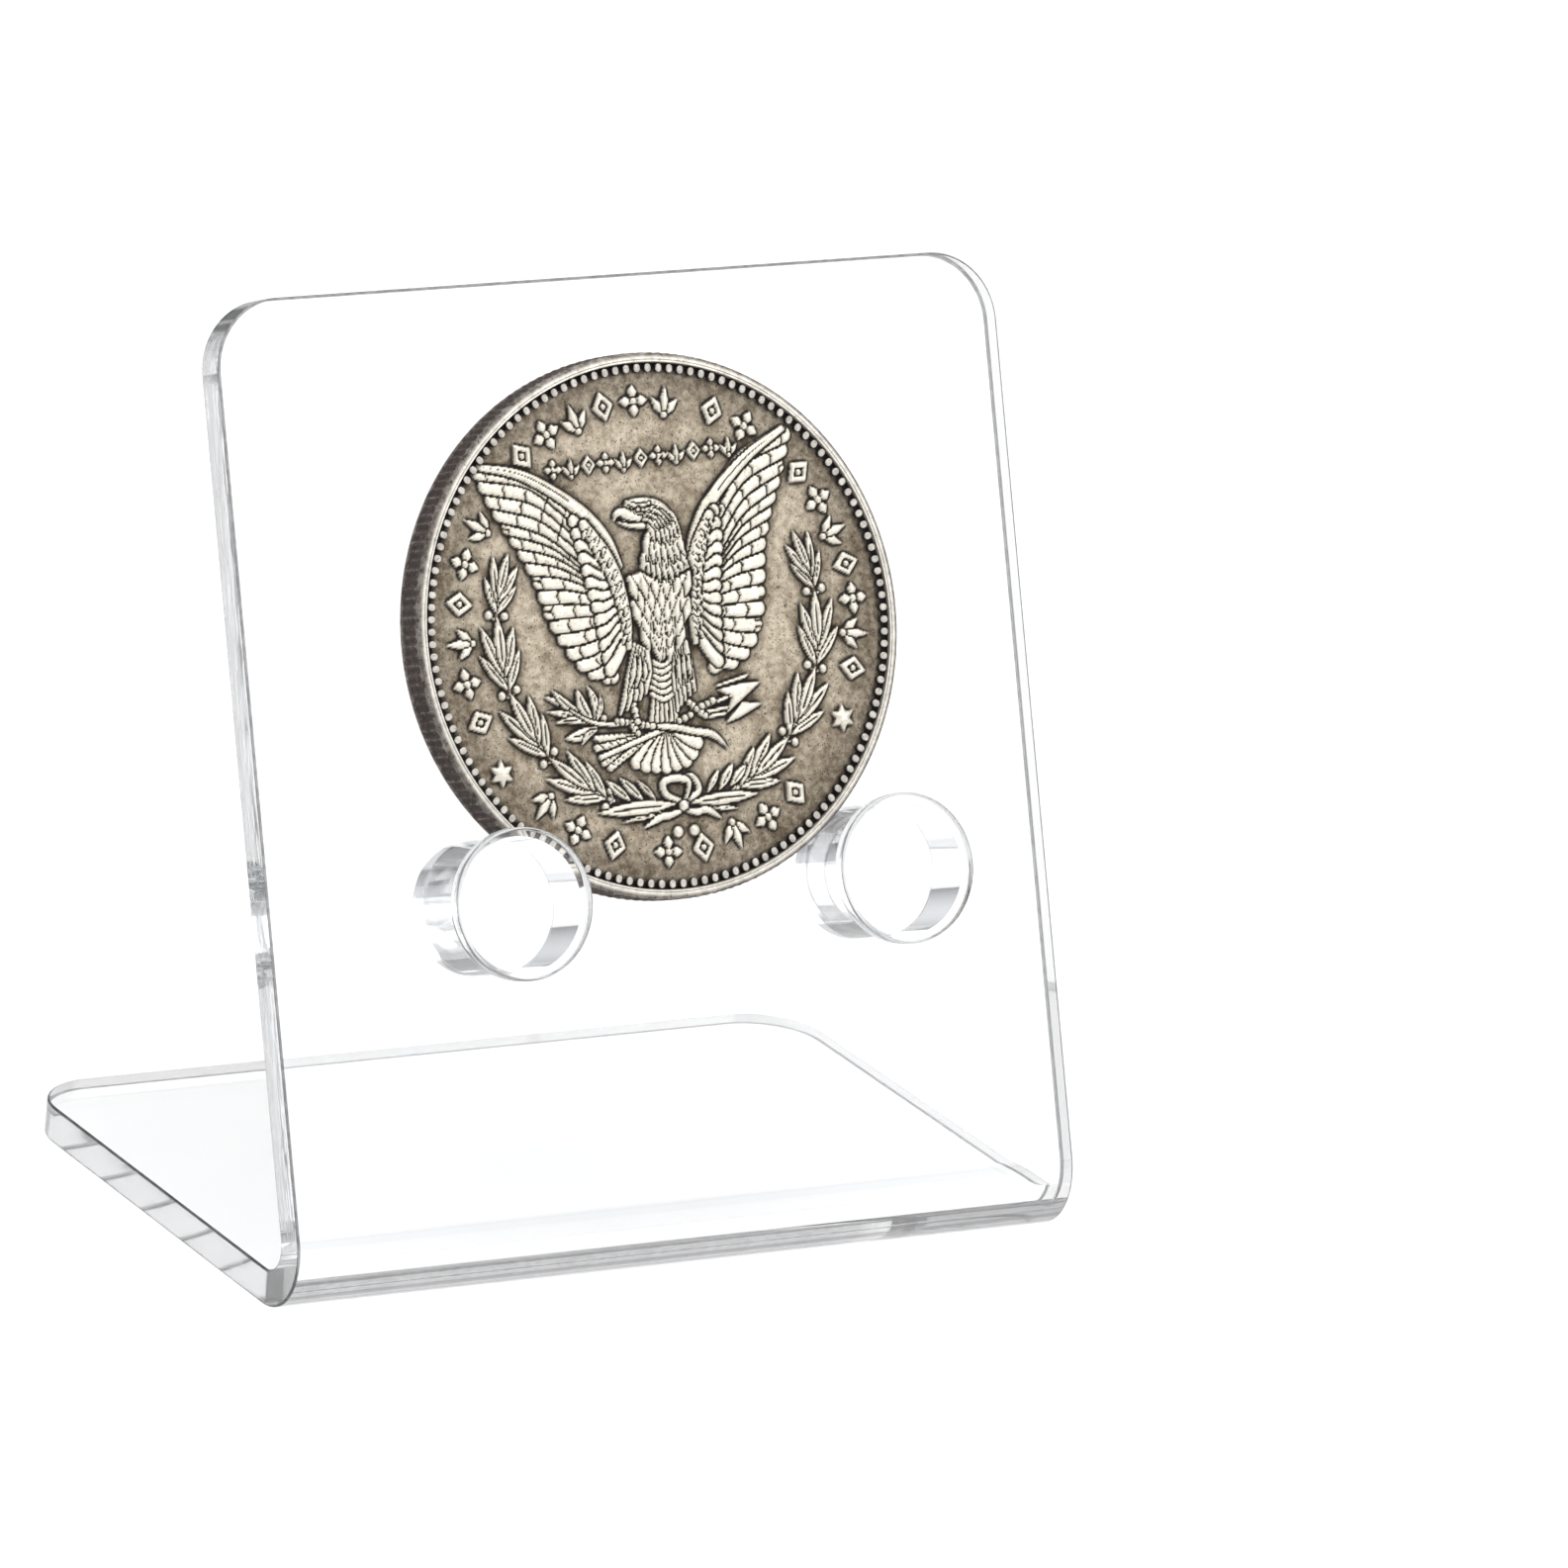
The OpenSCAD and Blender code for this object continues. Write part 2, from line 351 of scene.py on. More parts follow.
def clear_material(name, tint, scratches, smudges, gloss, has_cut_edges=True):
    material, tree, shader = new_material(name)
    shader.inputs["Transmission Weight"].default_value = 1.0
    shader.inputs["IOR"].default_value = 1.49
    wear = use_group(tree, wear_group, Scratches=scratches, Smudges=smudges, Gloss=gloss)
    rough = wear.outputs["Roughness"]
    rays = add_node(tree, "ShaderNodeLightPath")
    light_only = maths(tree, "MAXIMUM", rays.outputs["Is Shadow Ray"], rays.outputs["Is Diffuse Ray"])
    unbent_and_cut_shade = light_only
    if has_cut_edges:
        cut = add_node(tree, "ShaderNodeAttribute", attribute_name="cut_and_edge_shade").outputs["Fac"]
        edge = use_group(tree, sawn_and_shade_group, Tint=(*tint, 1))
        tree.links.new(cut, edge.inputs["Cut"])
        # The edge tone, pale grey and near-black painted shade on the cut faces, becomes the base colour.
        tree.links.new(edge.outputs["Tone"], shader.inputs["Base Color"])
        rough = plus(tree, rough, edge.outputs["Dullness"])
        bump = add_node(tree, "ShaderNodeBump")
        bump.inputs["Strength"].default_value = 0.15
        bump.inputs["Distance"].default_value = 0.01 * mm
        tree.links.new(plus(tree, wear.outputs["Height"], edge.outputs["Height"]), bump.inputs["Height"])
        tree.links.new(bump.outputs["Normal"], shader.inputs["Normal"])
        # Camera rays at a cut face are partly sent into the dark layer below: painted shade on the cut edges.
        unbent_and_cut_shade = maths(tree, "MAXIMUM", light_only, times(tree, cut, painted_cut_shade))
    else:
        shader.inputs["Base Color"].default_value = (*tint, 1)
    tree.links.new(rough, shader.inputs["Roughness"])
    # Light rays pass an almost clear layer, and camera rays get a dark one of 0.15, which is the painted
    # shade.
    let_through = add_node(tree, "ShaderNodeBsdfTransparent")
    tree.links.new(remap(tree, light_only, 0, 1, 0.15, 0.977), let_through.inputs["Color"])
    mix = add_node(tree, "ShaderNodeMixShader")
    tree.links.new(unbent_and_cut_shade, mix.inputs["Fac"])
    tree.links.new(shader.outputs["BSDF"], mix.inputs[1])
    tree.links.new(let_through.outputs["BSDF"], mix.inputs[2])
    tree.links.new(mix.outputs["Shader"], tree.nodes["Material Output"].inputs["Surface"])
    return material


sheet_material = clear_material("polished_sheet", (0.99, 0.993, 0.995), 0.35, 0.4, 0.0)
peg_material = clear_material("polished_peg", (0.985, 0.99, 0.992), 0.3, 0.3, 0.02)
cement_material = clear_material("cured_cement", (0.97, 0.975, 0.98), 0.0, 0.6, 0.02, has_cut_edges=False)
print("clear materials", [m.name for m in (sheet_material, peg_material, cement_material)])

# %% [markdown]
# ## Modelling
# Blender's modelling operators act on whatever is selected, as they do in its window. These helpers
# select one object, or those of its points, edges or faces that a test picks out by place or by
# normal, so that each later step says in one line what it works on.

# %% Helpers for modelling by hand
def only(thing):
    bpy.ops.object.select_all(action="DESELECT")
    thing.select_set(True)
    bpy.context.view_layer.objects.active = thing


def apply_place(thing, place):
    only(thing)
    thing.matrix_world = place
    bpy.ops.object.transform_apply(location=True, rotation=True, scale=True)


def pick(thing, wanted, kind="VERT"):
    """Goes into edit mode with only those parts selected that wanted(centre, normal) is true for."""
    only(thing)
    bpy.ops.object.mode_set(mode="EDIT")
    bpy.ops.mesh.select_mode(type=kind)
    bpy.ops.mesh.select_all(action="DESELECT")
    bpy.ops.object.mode_set(mode="OBJECT")
    mesh = thing.data
    if kind == "VERT":
        parts = [(v, v.co, v.normal) for v in mesh.vertices]
    elif kind == "EDGE":
        places = [v.co for v in mesh.vertices]
        parts = [(e, (places[e.vertices[0]] + places[e.vertices[1]]) / 2, None) for e in mesh.edges]
    else:
        parts = [(p, p.center, p.normal) for p in mesh.polygons]
    count = 0
    for part, centre, normal in parts:
        part.select = bool(wanted(centre, normal))
        count += part.select
    bpy.ops.object.mode_set(mode="EDIT")
    return count


def done():
    bpy.ops.object.mode_set(mode="OBJECT")


def add_modifier(thing, kind, **settings):
    only(thing)
    modifier = thing.modifiers.new(kind.lower(), kind)
    for key, value in settings.items():
        setattr(modifier, key, value)
    bpy.ops.object.modifier_apply(modifier=modifier.name)


def keep_flats_flat(piece):
    """Smooth shading where the big flat faces stay truly flat and only the rounded edges turn."""
    only(piece)
    bpy.ops.object.shade_smooth_by_angle(angle=math.radians(40))
    add_modifier(piece, "WEIGHTED_NORMAL", keep_sharp=True, weight=100)


def finish_piece(piece, name, body, slot, *nodes):
    piece.name = name
    piece.data.name = name
    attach(piece, body)
    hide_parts(*nodes)
    print(name, len(piece.data.polygons), "faces")


print("modelling helpers ready")

# %% [markdown]
# ## The bent sheet
# A maker cuts a strip, rounds its four corners, polishes the edge, warms one line across it and folds
# it over a jig. It is modelled in the same order: a flat plane is the foot, spinning its front edge
# makes the bend, and extruding that edge up the slope makes the panel. Then the corners are rounded
# and Solidify gives the sheet its thickness. This way the bend is a true arc, and both skins stay
# smooth.

# %% Fold the strip
sheet_thickness = 2.6 * mm
bend_radius = 4.6 * mm
corner_radius = 5 * mm
panel_length = 71.2 * mm
sheet_low, sheet_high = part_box("bent_sheet")
bend_line = foot_line.y + bend_radius / math.tan((math.pi / 2 - lean) / 2)
foot_depth = sheet_high.y - bend_line
bpy.ops.mesh.primitive_plane_add(size=1, location=(0, bend_line + foot_depth / 2, 0))
sheet = bpy.context.object
sheet.scale = (sheet_high.x - sheet_low.x, foot_depth, 1)
bpy.ops.object.transform_apply(location=True, rotation=True, scale=True)
tiny = 0.01 * mm
pick(sheet, lambda c, n: abs(c.y - bend_line) < tiny, "EDGE")
bpy.ops.mesh.spin(
    steps=28, angle=math.pi / 2 + lean, center=(0, bend_line, bend_radius), axis=(1, 0, 0)
)
done()
print("after the spin", [round(v / mm, 2) for v in sheet.dimensions])

# %% [markdown]
# The spin leaves the end of the arc pointing straight up the panel's slope, so one extrude makes the
# whole panel. A bevel that works on vertices turns each free corner into a quarter circle.

# %% Raise the panel and round the corners
bend_run = bend_radius / math.tan((math.pi / 2 - lean) / 2)
bend_end = foot_line + up_slope * bend_run
panel_top = foot_line + up_slope * panel_length
pick(sheet, lambda c, n: abs(c.y - bend_end.y) < tiny and abs(c.z - bend_end.z) < tiny, "EDGE")
bpy.ops.mesh.extrude_region_move(TRANSFORM_OT_translate={"value": panel_top - bend_end})
bpy.ops.mesh.select_all(action="SELECT")
bpy.ops.mesh.normals_make_consistent(inside=False)
done()
if sheet.data.polygons[0].normal.z > 0:
    sheet.data.flip_normals()
corners = pick(sheet, lambda c, n: abs(c.x) > sheet_high.x - tiny and (
    c.y > sheet_high.y - tiny or abs(c.z - panel_top.z) < tiny))
bpy.ops.mesh.bevel(offset=corner_radius, segments=18, affect="VERTICES")
done()
print("corners rounded:", corners)

# %% [markdown]
# Solidify grows the sheet inwards from its outer skin, so the outside keeps the CAD size. The skins are
# smooth cast faces, but the rim was sawn, scraped and polished. A number on each face remembers which faces
# those are, and also how much painted shade they get. It is highest at the softened corners, which are
# painted as dark lines. It is lower on the edge itself, which is painted pale grey. It is a little more at
# the strip's two ends than along its sides, and none on the skins.

# %% Give the sheet its thickness
add_modifier(sheet, "SOLIDIFY", thickness=sheet_thickness, offset=-1, use_even_offset=True)
add_modifier(sheet, "BEVEL", width=0.16 * mm, segments=3, limit_method="ANGLE", angle_limit=math.radians(50))


def skin_normal(point):
    """Which way the sheet's skin faces at this place: on the foot, on the panel or round the bend."""
    if point.y > bend_line and point.z < 1.5 * sheet_thickness:
        return Vector((0, 0, 1))
    if (point - bend_end).dot(up_slope) > 0:
        return outward
    return Vector((0, point.y - bend_line, point.z - bend_radius)).normalized()


along_skin, square_to_skin = 0.985, 0.17
cut = sheet.data.attributes.new("cut_and_edge_shade", "FLOAT", "FACE")
for face in sheet.data.polygons:
    flatness = abs(face.normal.dot(skin_normal(face.center)))
    toward_end = max(0.0, face.normal.y, face.normal.dot(up_slope))
    sawn = 0.4 + 0.35 * toward_end**2
    # Rim faces are painted pale grey and partly darker, and the rounded edges between rim and skin get 0.9,
    # which paints them as near-black lines of shade.
    amount = 0.0 if flatness > along_skin else sawn if flatness < square_to_skin else 0.9
    cut.data[face.index].value = amount
keep_flats_flat(sheet)
sheet.data.materials.append(sheet_material)
finish_piece(sheet, "bent_acrylic_sheet", "stand", "clear_acrylic", "bent_sheet")

# %% [markdown]
# ## The pegs
# Each peg was turned from clear rod: a barrel, a step out to a wider head, and softly broken edges. A
# cylinder is the turned blank, and its front face is pushed out in the steps of the lathe. It is
# drawn on the workbench (x, y) plane and then set on the panel's slope with panel_place. The pegs'
# axes are read from the round films under them, because a tilted peg with a head fills its box
# unevenly.

# %% Turn one peg, then copy it
bond_thickness = 0.1 * mm
peg_length, head_length = 7.8 * mm, 1.2 * mm
left_peg_middle = turn.inverted() @ (middle("left_peg_bond") - foot_line)
right_peg_middle = turn.inverted() @ (middle("right_peg_bond") - foot_line)
head_radius = (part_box("left_peg")[1].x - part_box("left_peg")[0].x) / 2
barrel_radius = (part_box("left_peg_bond")[1].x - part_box("left_peg_bond")[0].x) / 2
print(f"barrel {2 * barrel_radius / mm:.2f} mm, head {2 * head_radius / mm:.2f} mm across")


def near(value, target, slack=0.01 * mm):
    return abs(value - target) < slack


def radius_of(point):
    return math.hypot(point.x, point.y)


neck_length = peg_length - head_length
bpy.ops.mesh.primitive_cylinder_add(
    vertices=128, radius=barrel_radius, depth=neck_length, location=(0, 0, bond_thickness + neck_length / 2)
)
left_peg = bpy.context.object
bpy.ops.object.transform_apply(location=True, rotation=True, scale=True)
neck_level = bond_thickness + neck_length
pick(left_peg, lambda c, n: near(c.z, neck_level) and n.z > 0.9, "FACE")
bpy.ops.mesh.extrude_region_move()
bpy.ops.transform.resize(
    value=(head_radius / barrel_radius, head_radius / barrel_radius, 1), center_override=(0, 0, neck_level)
)
bpy.ops.mesh.extrude_region_move(TRANSFORM_OT_translate={"value": (0, 0, head_length)})
done()
pick(left_peg, lambda c, n: near(radius_of(c), head_radius, 0.02 * mm) and (
    near(c.z, neck_level) or near(c.z, neck_level + head_length)), "EDGE")
bpy.ops.mesh.bevel(offset=0.22 * mm, segments=4, profile=0.5)
done()
# The head's rounded edges get 0.45, which paints them pale grey and gives camera rays there some painted
# shade.
broken = left_peg.data.attributes.new("cut_and_edge_shade", "FLOAT", "FACE")
for face in left_peg.data.polygons:
    broken.data[face.index].value = 0.45 if square_to_skin < abs(face.normal.z) < along_skin else 0.0
right_peg = left_peg.copy()
right_peg.data = left_peg.data.copy()
bpy.context.scene.collection.objects.link(right_peg)
for peg, place, side in ((left_peg, left_peg_middle, "left"), (right_peg, right_peg_middle, "right")):
    apply_place(peg, panel_place @ Matrix.Translation((place.x, place.y, 0)))
    keep_flats_flat(peg)
    peg.data.materials.append(peg_material)
    finish_piece(peg, f"{side}_turned_peg", "stand", "turned_acrylic", f"{side}_peg")

# %% [markdown]
# ## The cement
# Solvent cement wets both faces, so light crosses the joint as if it were solid. Two clear meshes
# that only touch would show a silvery air gap instead. So the film reaches a hair into the sheet and
# into the peg, and its wavy outline is where the cement ran out a little unevenly.

# %% Lay a film of cement under each peg
overlap = 0.012 * mm
for place, side, phase in ((left_peg_middle, "left", 0.4), (right_peg_middle, "right", 2.1)):
    film_middle = (0, 0, bond_thickness / 2)
    bpy.ops.mesh.primitive_cylinder_add(
        vertices=128, radius=barrel_radius, depth=bond_thickness + 2 * overlap, location=film_middle
    )
    film = bpy.context.object
    bpy.ops.object.transform_apply(location=True, rotation=True, scale=True)
    for point in film.data.vertices:
        angle = math.atan2(point.co.y, point.co.x)
        ripple = 0.985 + 0.008 * math.sin(3 * angle + phase) + 0.005 * math.sin(8 * angle + 2 * phase)
        point.co.x *= ripple
        point.co.y *= ripple
    apply_place(film, panel_place @ Matrix.Translation((place.x, place.y, 0)))
    film.data.materials.append(cement_material)
    keep_flats_flat(film)
    finish_piece(film, f"{side}_cement_film", "stand", "clear_cement", f"{side}_peg_bond")

# %% [markdown]
# ## The coin's relief
# A mint does not carve a coin by hand: a machine copies the heights of a big plaster model onto a
# steel die. The same idea works here. A board of heights covers the coin's face, one number every
# tenth of a millimetre, and every leaf, feather and berry is laid on it as a rounded form. Later the
# board lifts the points of a fine grid. The board works in millimetres, x to the right and y up the
# coin. A form may have a moat, a narrow cut round it that keeps it apart from what lies below.

# %% The board of heights
class ReliefBoard:
    def __init__(self, reach, cells):
        self.reach, self.cells, self.pitch = reach, cells, 2 * reach / cells
        line = np.linspace(-reach, reach, cells + 1)
        self.x, self.y = np.meshgrid(line, line)
        self.height = np.zeros_like(self.x)

    def window(self, points, margin):
        low = np.floor((points.min(0) - margin + self.reach) / self.pitch).astype(int)
        high = np.ceil((points.max(0) + margin + self.reach) / self.pitch).astype(int) + 1
        low, high = np.clip(low, 0, self.cells), np.clip(high, 1, self.cells + 1)
        return slice(low[1], high[1]), slice(low[0], high[0])

    def lay(self, inside, spot, height, edge, moat=0.0, floor=0.1, groove=0.0, base=0.0):
        """Covers what lies below with a rounded form, inside is the distance in from its outline."""
        part = self.height[spot]
        if moat:
            gap = (inside <= 0) & (inside > -moat)
            part[gap] = np.minimum(part[gap], floor)
        rise = np.sqrt(1 - (1 - np.clip(inside / edge, 0, 1)) ** 2)
        form = base + height * rise - groove
        self.height[spot] = np.where(inside > 0, np.maximum(form, 0.02), part)


front = ReliefBoard(18.0, 352)
print(f"board of {front.cells} cells, one every {front.pitch:.3f} mm")

# %% [markdown]
# Most forms on the coin are long: a feather, a leaf, a ribbon. Each is drawn as a brush stroke along
# a line that is set by two to nine points, with its width given at a few places on the way.

# %% Lines and strokes
def smooth_line(points, steps=7):
    """A smooth curve through a few given points."""
    points = np.array(points, float)
    if len(points) < 3:
        return points
    padded = np.vstack([2 * points[0] - points[1], points, 2 * points[-1] - points[-2]])
    t = np.linspace(0, 1, steps, endpoint=False)[:, None]
    runs = []
    for a, b, c, d in zip(padded, padded[1:], padded[2:], padded[3:]):
        square, cube = 2 * a - 5 * b + 4 * c - d, 3 * b - a - 3 * c + d
        runs.append(0.5 * (2 * b + (c - a) * t + square * t**2 + cube * t**3))
    return np.vstack(runs + [points[-1:]])


def along_line(points, share):
    """The point that lies a share of the way along a line."""
    points = np.array(points, float)
    steps = np.hypot(*np.diff(points, axis=0).T)
    run = np.concatenate([[0], np.cumsum(steps)])
    return np.array([np.interp(share * run[-1], run, points[:, axis]) for axis in (0, 1)])


def stroke(board, points, widths, height=0.3, edge=0.16, grooves=None, steps=7, **laying):
    """A rounded ridge along a line. widths are its half widths at the start, at the middle and at the end."""
    curve = smooth_line(points, steps)
    spot = board.window(curve, max(widths) + laying.get("moat", 0) + 0.1)
    x, y = board.x[spot], board.y[spot]
    spans = np.hypot(*np.diff(curve, axis=0).T)
    run = np.concatenate([[0], np.cumsum(spans)])
    nearest = np.full(x.shape, 1e9)
    travelled, off = np.zeros(x.shape), np.zeros(x.shape)
    for start, end, span, before in zip(curve, curve[1:], spans, run):
        way = (end - start) / max(span, 1e-9)
        ahead = np.clip((x - start[0]) * way[0] + (y - start[1]) * way[1], 0, span)
        gap_x, gap_y = x - start[0] - ahead * way[0], y - start[1] - ahead * way[1]
        gap = np.hypot(gap_x, gap_y)
        closer = gap < nearest
        nearest = np.where(closer, gap, nearest)
        travelled = np.where(closer, before + ahead, travelled)
        off = np.where(closer, way[0] * gap_y - way[1] * gap_x, off)
    width = np.interp(travelled / run[-1], np.linspace(0, 1, len(widths)), widths)
    inside = width - nearest
    groove = grooves(travelled, off, width, run[-1]) if grooves else 0.0
    board.lay(inside, spot, height, edge, groove=groove, **laying)


print("strokes ready")

# %% [markdown]
# The rest are areas with a drawn outline, such as a star, and round pellets. A groove is what is cut
# into a form again, such as the rib of a leaf.

# %% Shapes, pellets and grooves
def shape(board, outline, height=0.3, edge=0.18, **laying):
    """A raised area with straight or curved sides."""
    outline = np.array(outline, float)
    spot = board.window(outline, 0.3)
    x, y = board.x[spot], board.y[spot]
    nearest = np.full(x.shape, 1e9)
    within = np.zeros(x.shape, bool)
    for (ax, ay), (bx, by) in zip(outline, np.roll(outline, -1, axis=0)):
        span = max((bx - ax) ** 2 + (by - ay) ** 2, 1e-9)
        share = np.clip(((x - ax) * (bx - ax) + (y - ay) * (by - ay)) / span, 0, 1)
        nearest = np.minimum(nearest, np.hypot(x - ax - share * (bx - ax), y - ay - share * (by - ay)))
        if ay != by:
            within ^= ((ay > y) != (by > y)) & (x < (bx - ax) * (y - ay) / (by - ay) + ax)
    board.lay(np.where(within, nearest, -nearest), spot, height, edge, **laying)


def pellet(board, centre, radius, height=0.3, **laying):
    centre = np.array([centre], float)
    spot = board.window(centre, radius + 0.3)
    reach = np.hypot(board.x[spot] - centre[0, 0], board.y[spot] - centre[0, 1])
    board.lay(radius - reach, spot, height, radius * 0.8, **laying)


def line_groove(distance, width, depth):
    """How deep a cut of this width is, at a distance from its middle."""
    return depth * np.clip(1 - np.abs(distance) / width, 0, 1)


print("shapes ready")

# %% [markdown]
# The wings come first, because the bird's body lies over them. Each flight feather is one long
# stroke, cut across into short tiles with rounded ends. A feather's row of cuts is shifted by half a
# tile from its neighbour's, which gives the brick pattern. The lower feathers are laid first, so that
# each one tucks under the feather above it.

# %% One wing
def tile_cuts(tile, shift):
    def cut(travelled, off, width, length):
        phase = (travelled + 0.55 * np.abs(off)) / tile + shift
        return line_groove((phase - np.floor(phase) - 0.5) * tile, 0.1, 0.2)
    return cut


def split_along(side):
    """A thin cut down the outer part of the feather at the wing's leading edge."""
    def cut(travelled, off, width, length):
        return line_groove(off - 0.05 * side, 0.07, 0.12) * (travelled > 0.45 * length)
    return cut


def wing(board, leading, trailing, root, inner, arm, side, feathers=17, coverts=13):
    for number in reversed(range(feathers)):
        share = number / (feathers - 1)
        root_share = np.interp(share, (0, 0.19, 0.34, 0.48, 0.66, 1), (0, 0.29, 0.37, 0.45, 0.64, 1))
        start, end = along_line(root, root_share), along_line(trailing, share)
        bow = 0.95 * (1 - share) ** 1.5 - 0.3 * share
        across_feather = np.array([end[1] - start[1], start[0] - end[0]]) / np.hypot(*(end - start))
        bent = (start + end) / 2 - across_feather * bow * side
        stroke(board, [start, bent, end], (0.34, 0.48, 0.58), 0.27, 0.16,
               tile_cuts(1.75, 0.5 * (number % 2) + 0.13 * number), moat=0.12, floor=0.07)
    stroke(board, leading, (0.3, 0.5, 0.42, 0.25), 0.31, 0.22, split_along(side), moat=0.12, floor=0.07)
    for number in range(coverts):
        share = number / (coverts - 1)
        outer, near_arm = along_line(root, 0.02 + 0.97 * share), along_line(inner, 0.2 + 0.64 * share)
        outer = outer + np.array([0.16 * side, 0])
        sag = np.array([0.08 * side * share, -0.08 - 0.14 * share])
        stroke(board, [near_arm, (outer + near_arm) / 2 + sag, outer], (0.36, 0.42, 0.46), 0.31, 0.18,
               moat=0.12, floor=0.08)
    stroke(board, arm, (0.42, 0.62, 0.62, 0.5, 0.25), 0.34, 0.3, moat=0.1, floor=0.1)
    for number in range(10):
        share = (number + 0.7) / 10.5
        here = along_line(smooth_line(arm), share)
        lean_out = np.array([0.42 * side, -0.4])
        for offset, drop in ((-0.25, 0.3), (0.2, 0.1)):
            tuft = here + np.array([offset * side, drop])
            stroke(board, [tuft, tuft + lean_out * 0.4, tuft + lean_out * np.array([0.8, 1.5])],
                   (0.05, 0.15, 0.03), 0.07, 0.1, base=0.31, moat=0.07, floor=0.2)


print("wing ready")

# %% [markdown]
# The two wings are not mirror images: the left one is held lower and reaches further out. Each is set
# by five lines: its leading edge, the tips and the roots of its long feathers, the inner ends of the
# short feathers that cover those roots, and its arm.

# %% Both wings
wing(
    front,
    leading=[(-2.7, 4.4), (-3.5, 6.3), (-5, 8), (-7.3, 9.75), (-10, 11.2), (-13.1, 11.9)],
    trailing=[
        (-13.1, 11.6), (-11.9, 9), (-10.2, 6.2), (-9.1, 4), (-8.3, 1.2), (-7.2, -0.9), (-5.8, -2.7),
        (-4.3, -3.2),
    ],
    root=[(-5.9, 7.9), (-5.5, 6), (-5.2, 4.6), (-4.9, 3.2), (-4.5, 1), (-4, -2.9)],
    inner=[(-5.2, 8), (-3.9, 5), (-3.6, 3), (-3.2, 1), (-2.9, -1), (-2.8, -2.9)],
    arm=[(-5.25, 7.4), (-4.2, 5.8), (-3.3, 4), (-2.8, 2.2), (-2.5, 0.4), (-2.5, -1.3)],
    side=-1,
)
wing(
    front,
    leading=[(2.95, 4.3), (3.4, 6), (4.5, 7.8), (6.2, 9.6), (8.4, 11.4), (11.2, 13)],
    trailing=[
        (11.3, 12.6), (10.4, 10), (9.3, 7.5), (8.5, 5), (8.3, 3), (7.9, 0), (6.9, -2), (5.5, -2.9), (4.4, -3),
    ],
    root=[(5, 7.9), (5.1, 6), (5, 4.6), (4.7, 3.2), (4.5, 1), (4.3, -2.9)],
    inner=[(4.6, 8), (3.6, 5), (3.4, 3), (3.3, 1), (3.2, -1), (3.1, -2.8)],
    arm=[(4.75, 7.4), (3.9, 5.8), (3.3, 4), (3.05, 2.2), (2.9, 0.4), (2.8, -1.3)],
    side=1,
)
print(f"highest feather {front.height.max():.2f} mm above the field")

# %% [markdown]
# The bird stands front on with its head turned. Its tail and legs come before its breast, since they
# reach out from under it. They are sheaves of strands, each laid over the one before. Under the tail,
# a stack of short curved bars is laid from the bottom up, so each covers the top of the one below.

# %% Tail and legs
def strands(board, starts, ends, count, widths, height=0.3, bow=0.0, base=0.0, floor=0.1, stagger=0.0):
    """A sheaf of strands whose ends are spread evenly along two lines, every other one starting later."""
    for number in range(count):
        share = number / max(count - 1, 1)
        start, end = along_line(starts, share), along_line(ends, share)
        start = start + (end - start) * stagger * (number % 2)
        side_step = np.array([end[1] - start[1], start[0] - end[0]]) * bow
        stroke(board, [start, (start + end) / 2 + side_step, end], widths, height, 0.13,
               moat=0.08, floor=floor, base=base)


tail_end = [(-2.7, -9.3), (-1.9, -9.6), (-0.1, -9.8), (1.5, -9.4), (2.2, -8.3)]
strands(front, [(-0.7, -7.5), (0.5, -7.6)], tail_end, 8, (0.12, 0.34, 0.5), 0.25, bow=0.03)
strands(front, [(-0.95, -5.1), (0.7, -5.1)], [(-1.25, -6.7), (0.75, -6.7)], 6, (0.13, 0.18, 0.18), 0.27)
for number in reversed(range(6)):
    level_y = -2.5 - 0.47 * number
    stroke(front, [(-1.0, level_y + 0.16), (-0.15, level_y - 0.2), (0.75, level_y + 0.16)],
           (0.18, 0.27, 0.18), 0.3, 0.14, moat=0.08, floor=0.12)
for starts, ends, count, widths, height, bow in (
    ([(-2, -1.2), (-1.1, -1.7)], [(-3.65, -5.9), (-2.4, -5.3), (-1.5, -4.6)],
     5, (0.2, 0.34, 0.12), 0.3, -0.03),
    ([(-2.1, -1.8), (-1.4, -2.4)], [(-2.9, -4.4), (-1.6, -3.8)], 3, (0.08, 0.24, 0.06), 0.34, -0.05),
    ([(1.2, -1.5), (2, -1.3)], [(0.9, -6), (1.5, -5.3), (2.4, -4.7)], 5, (0.2, 0.32, 0.12), 0.3, 0.02),
    ([(1.35, -2.2), (2.1, -2.2)], [(1.3, -4.3), (2.2, -3.8)], 3, (0.08, 0.22, 0.06), 0.34, 0.05),
):
    strands(front, starts, ends, count, widths, height, bow=bow)
print("tail and legs laid")

# %% [markdown]
# The breast is a smooth dome first. Its feathers are laid over it in rows from the bottom up, so each
# row covers the roots of the one below, as on a live bird. Each row is shifted by half a feather from
# the one above, and its feathers lean outwards the further they are from the middle.

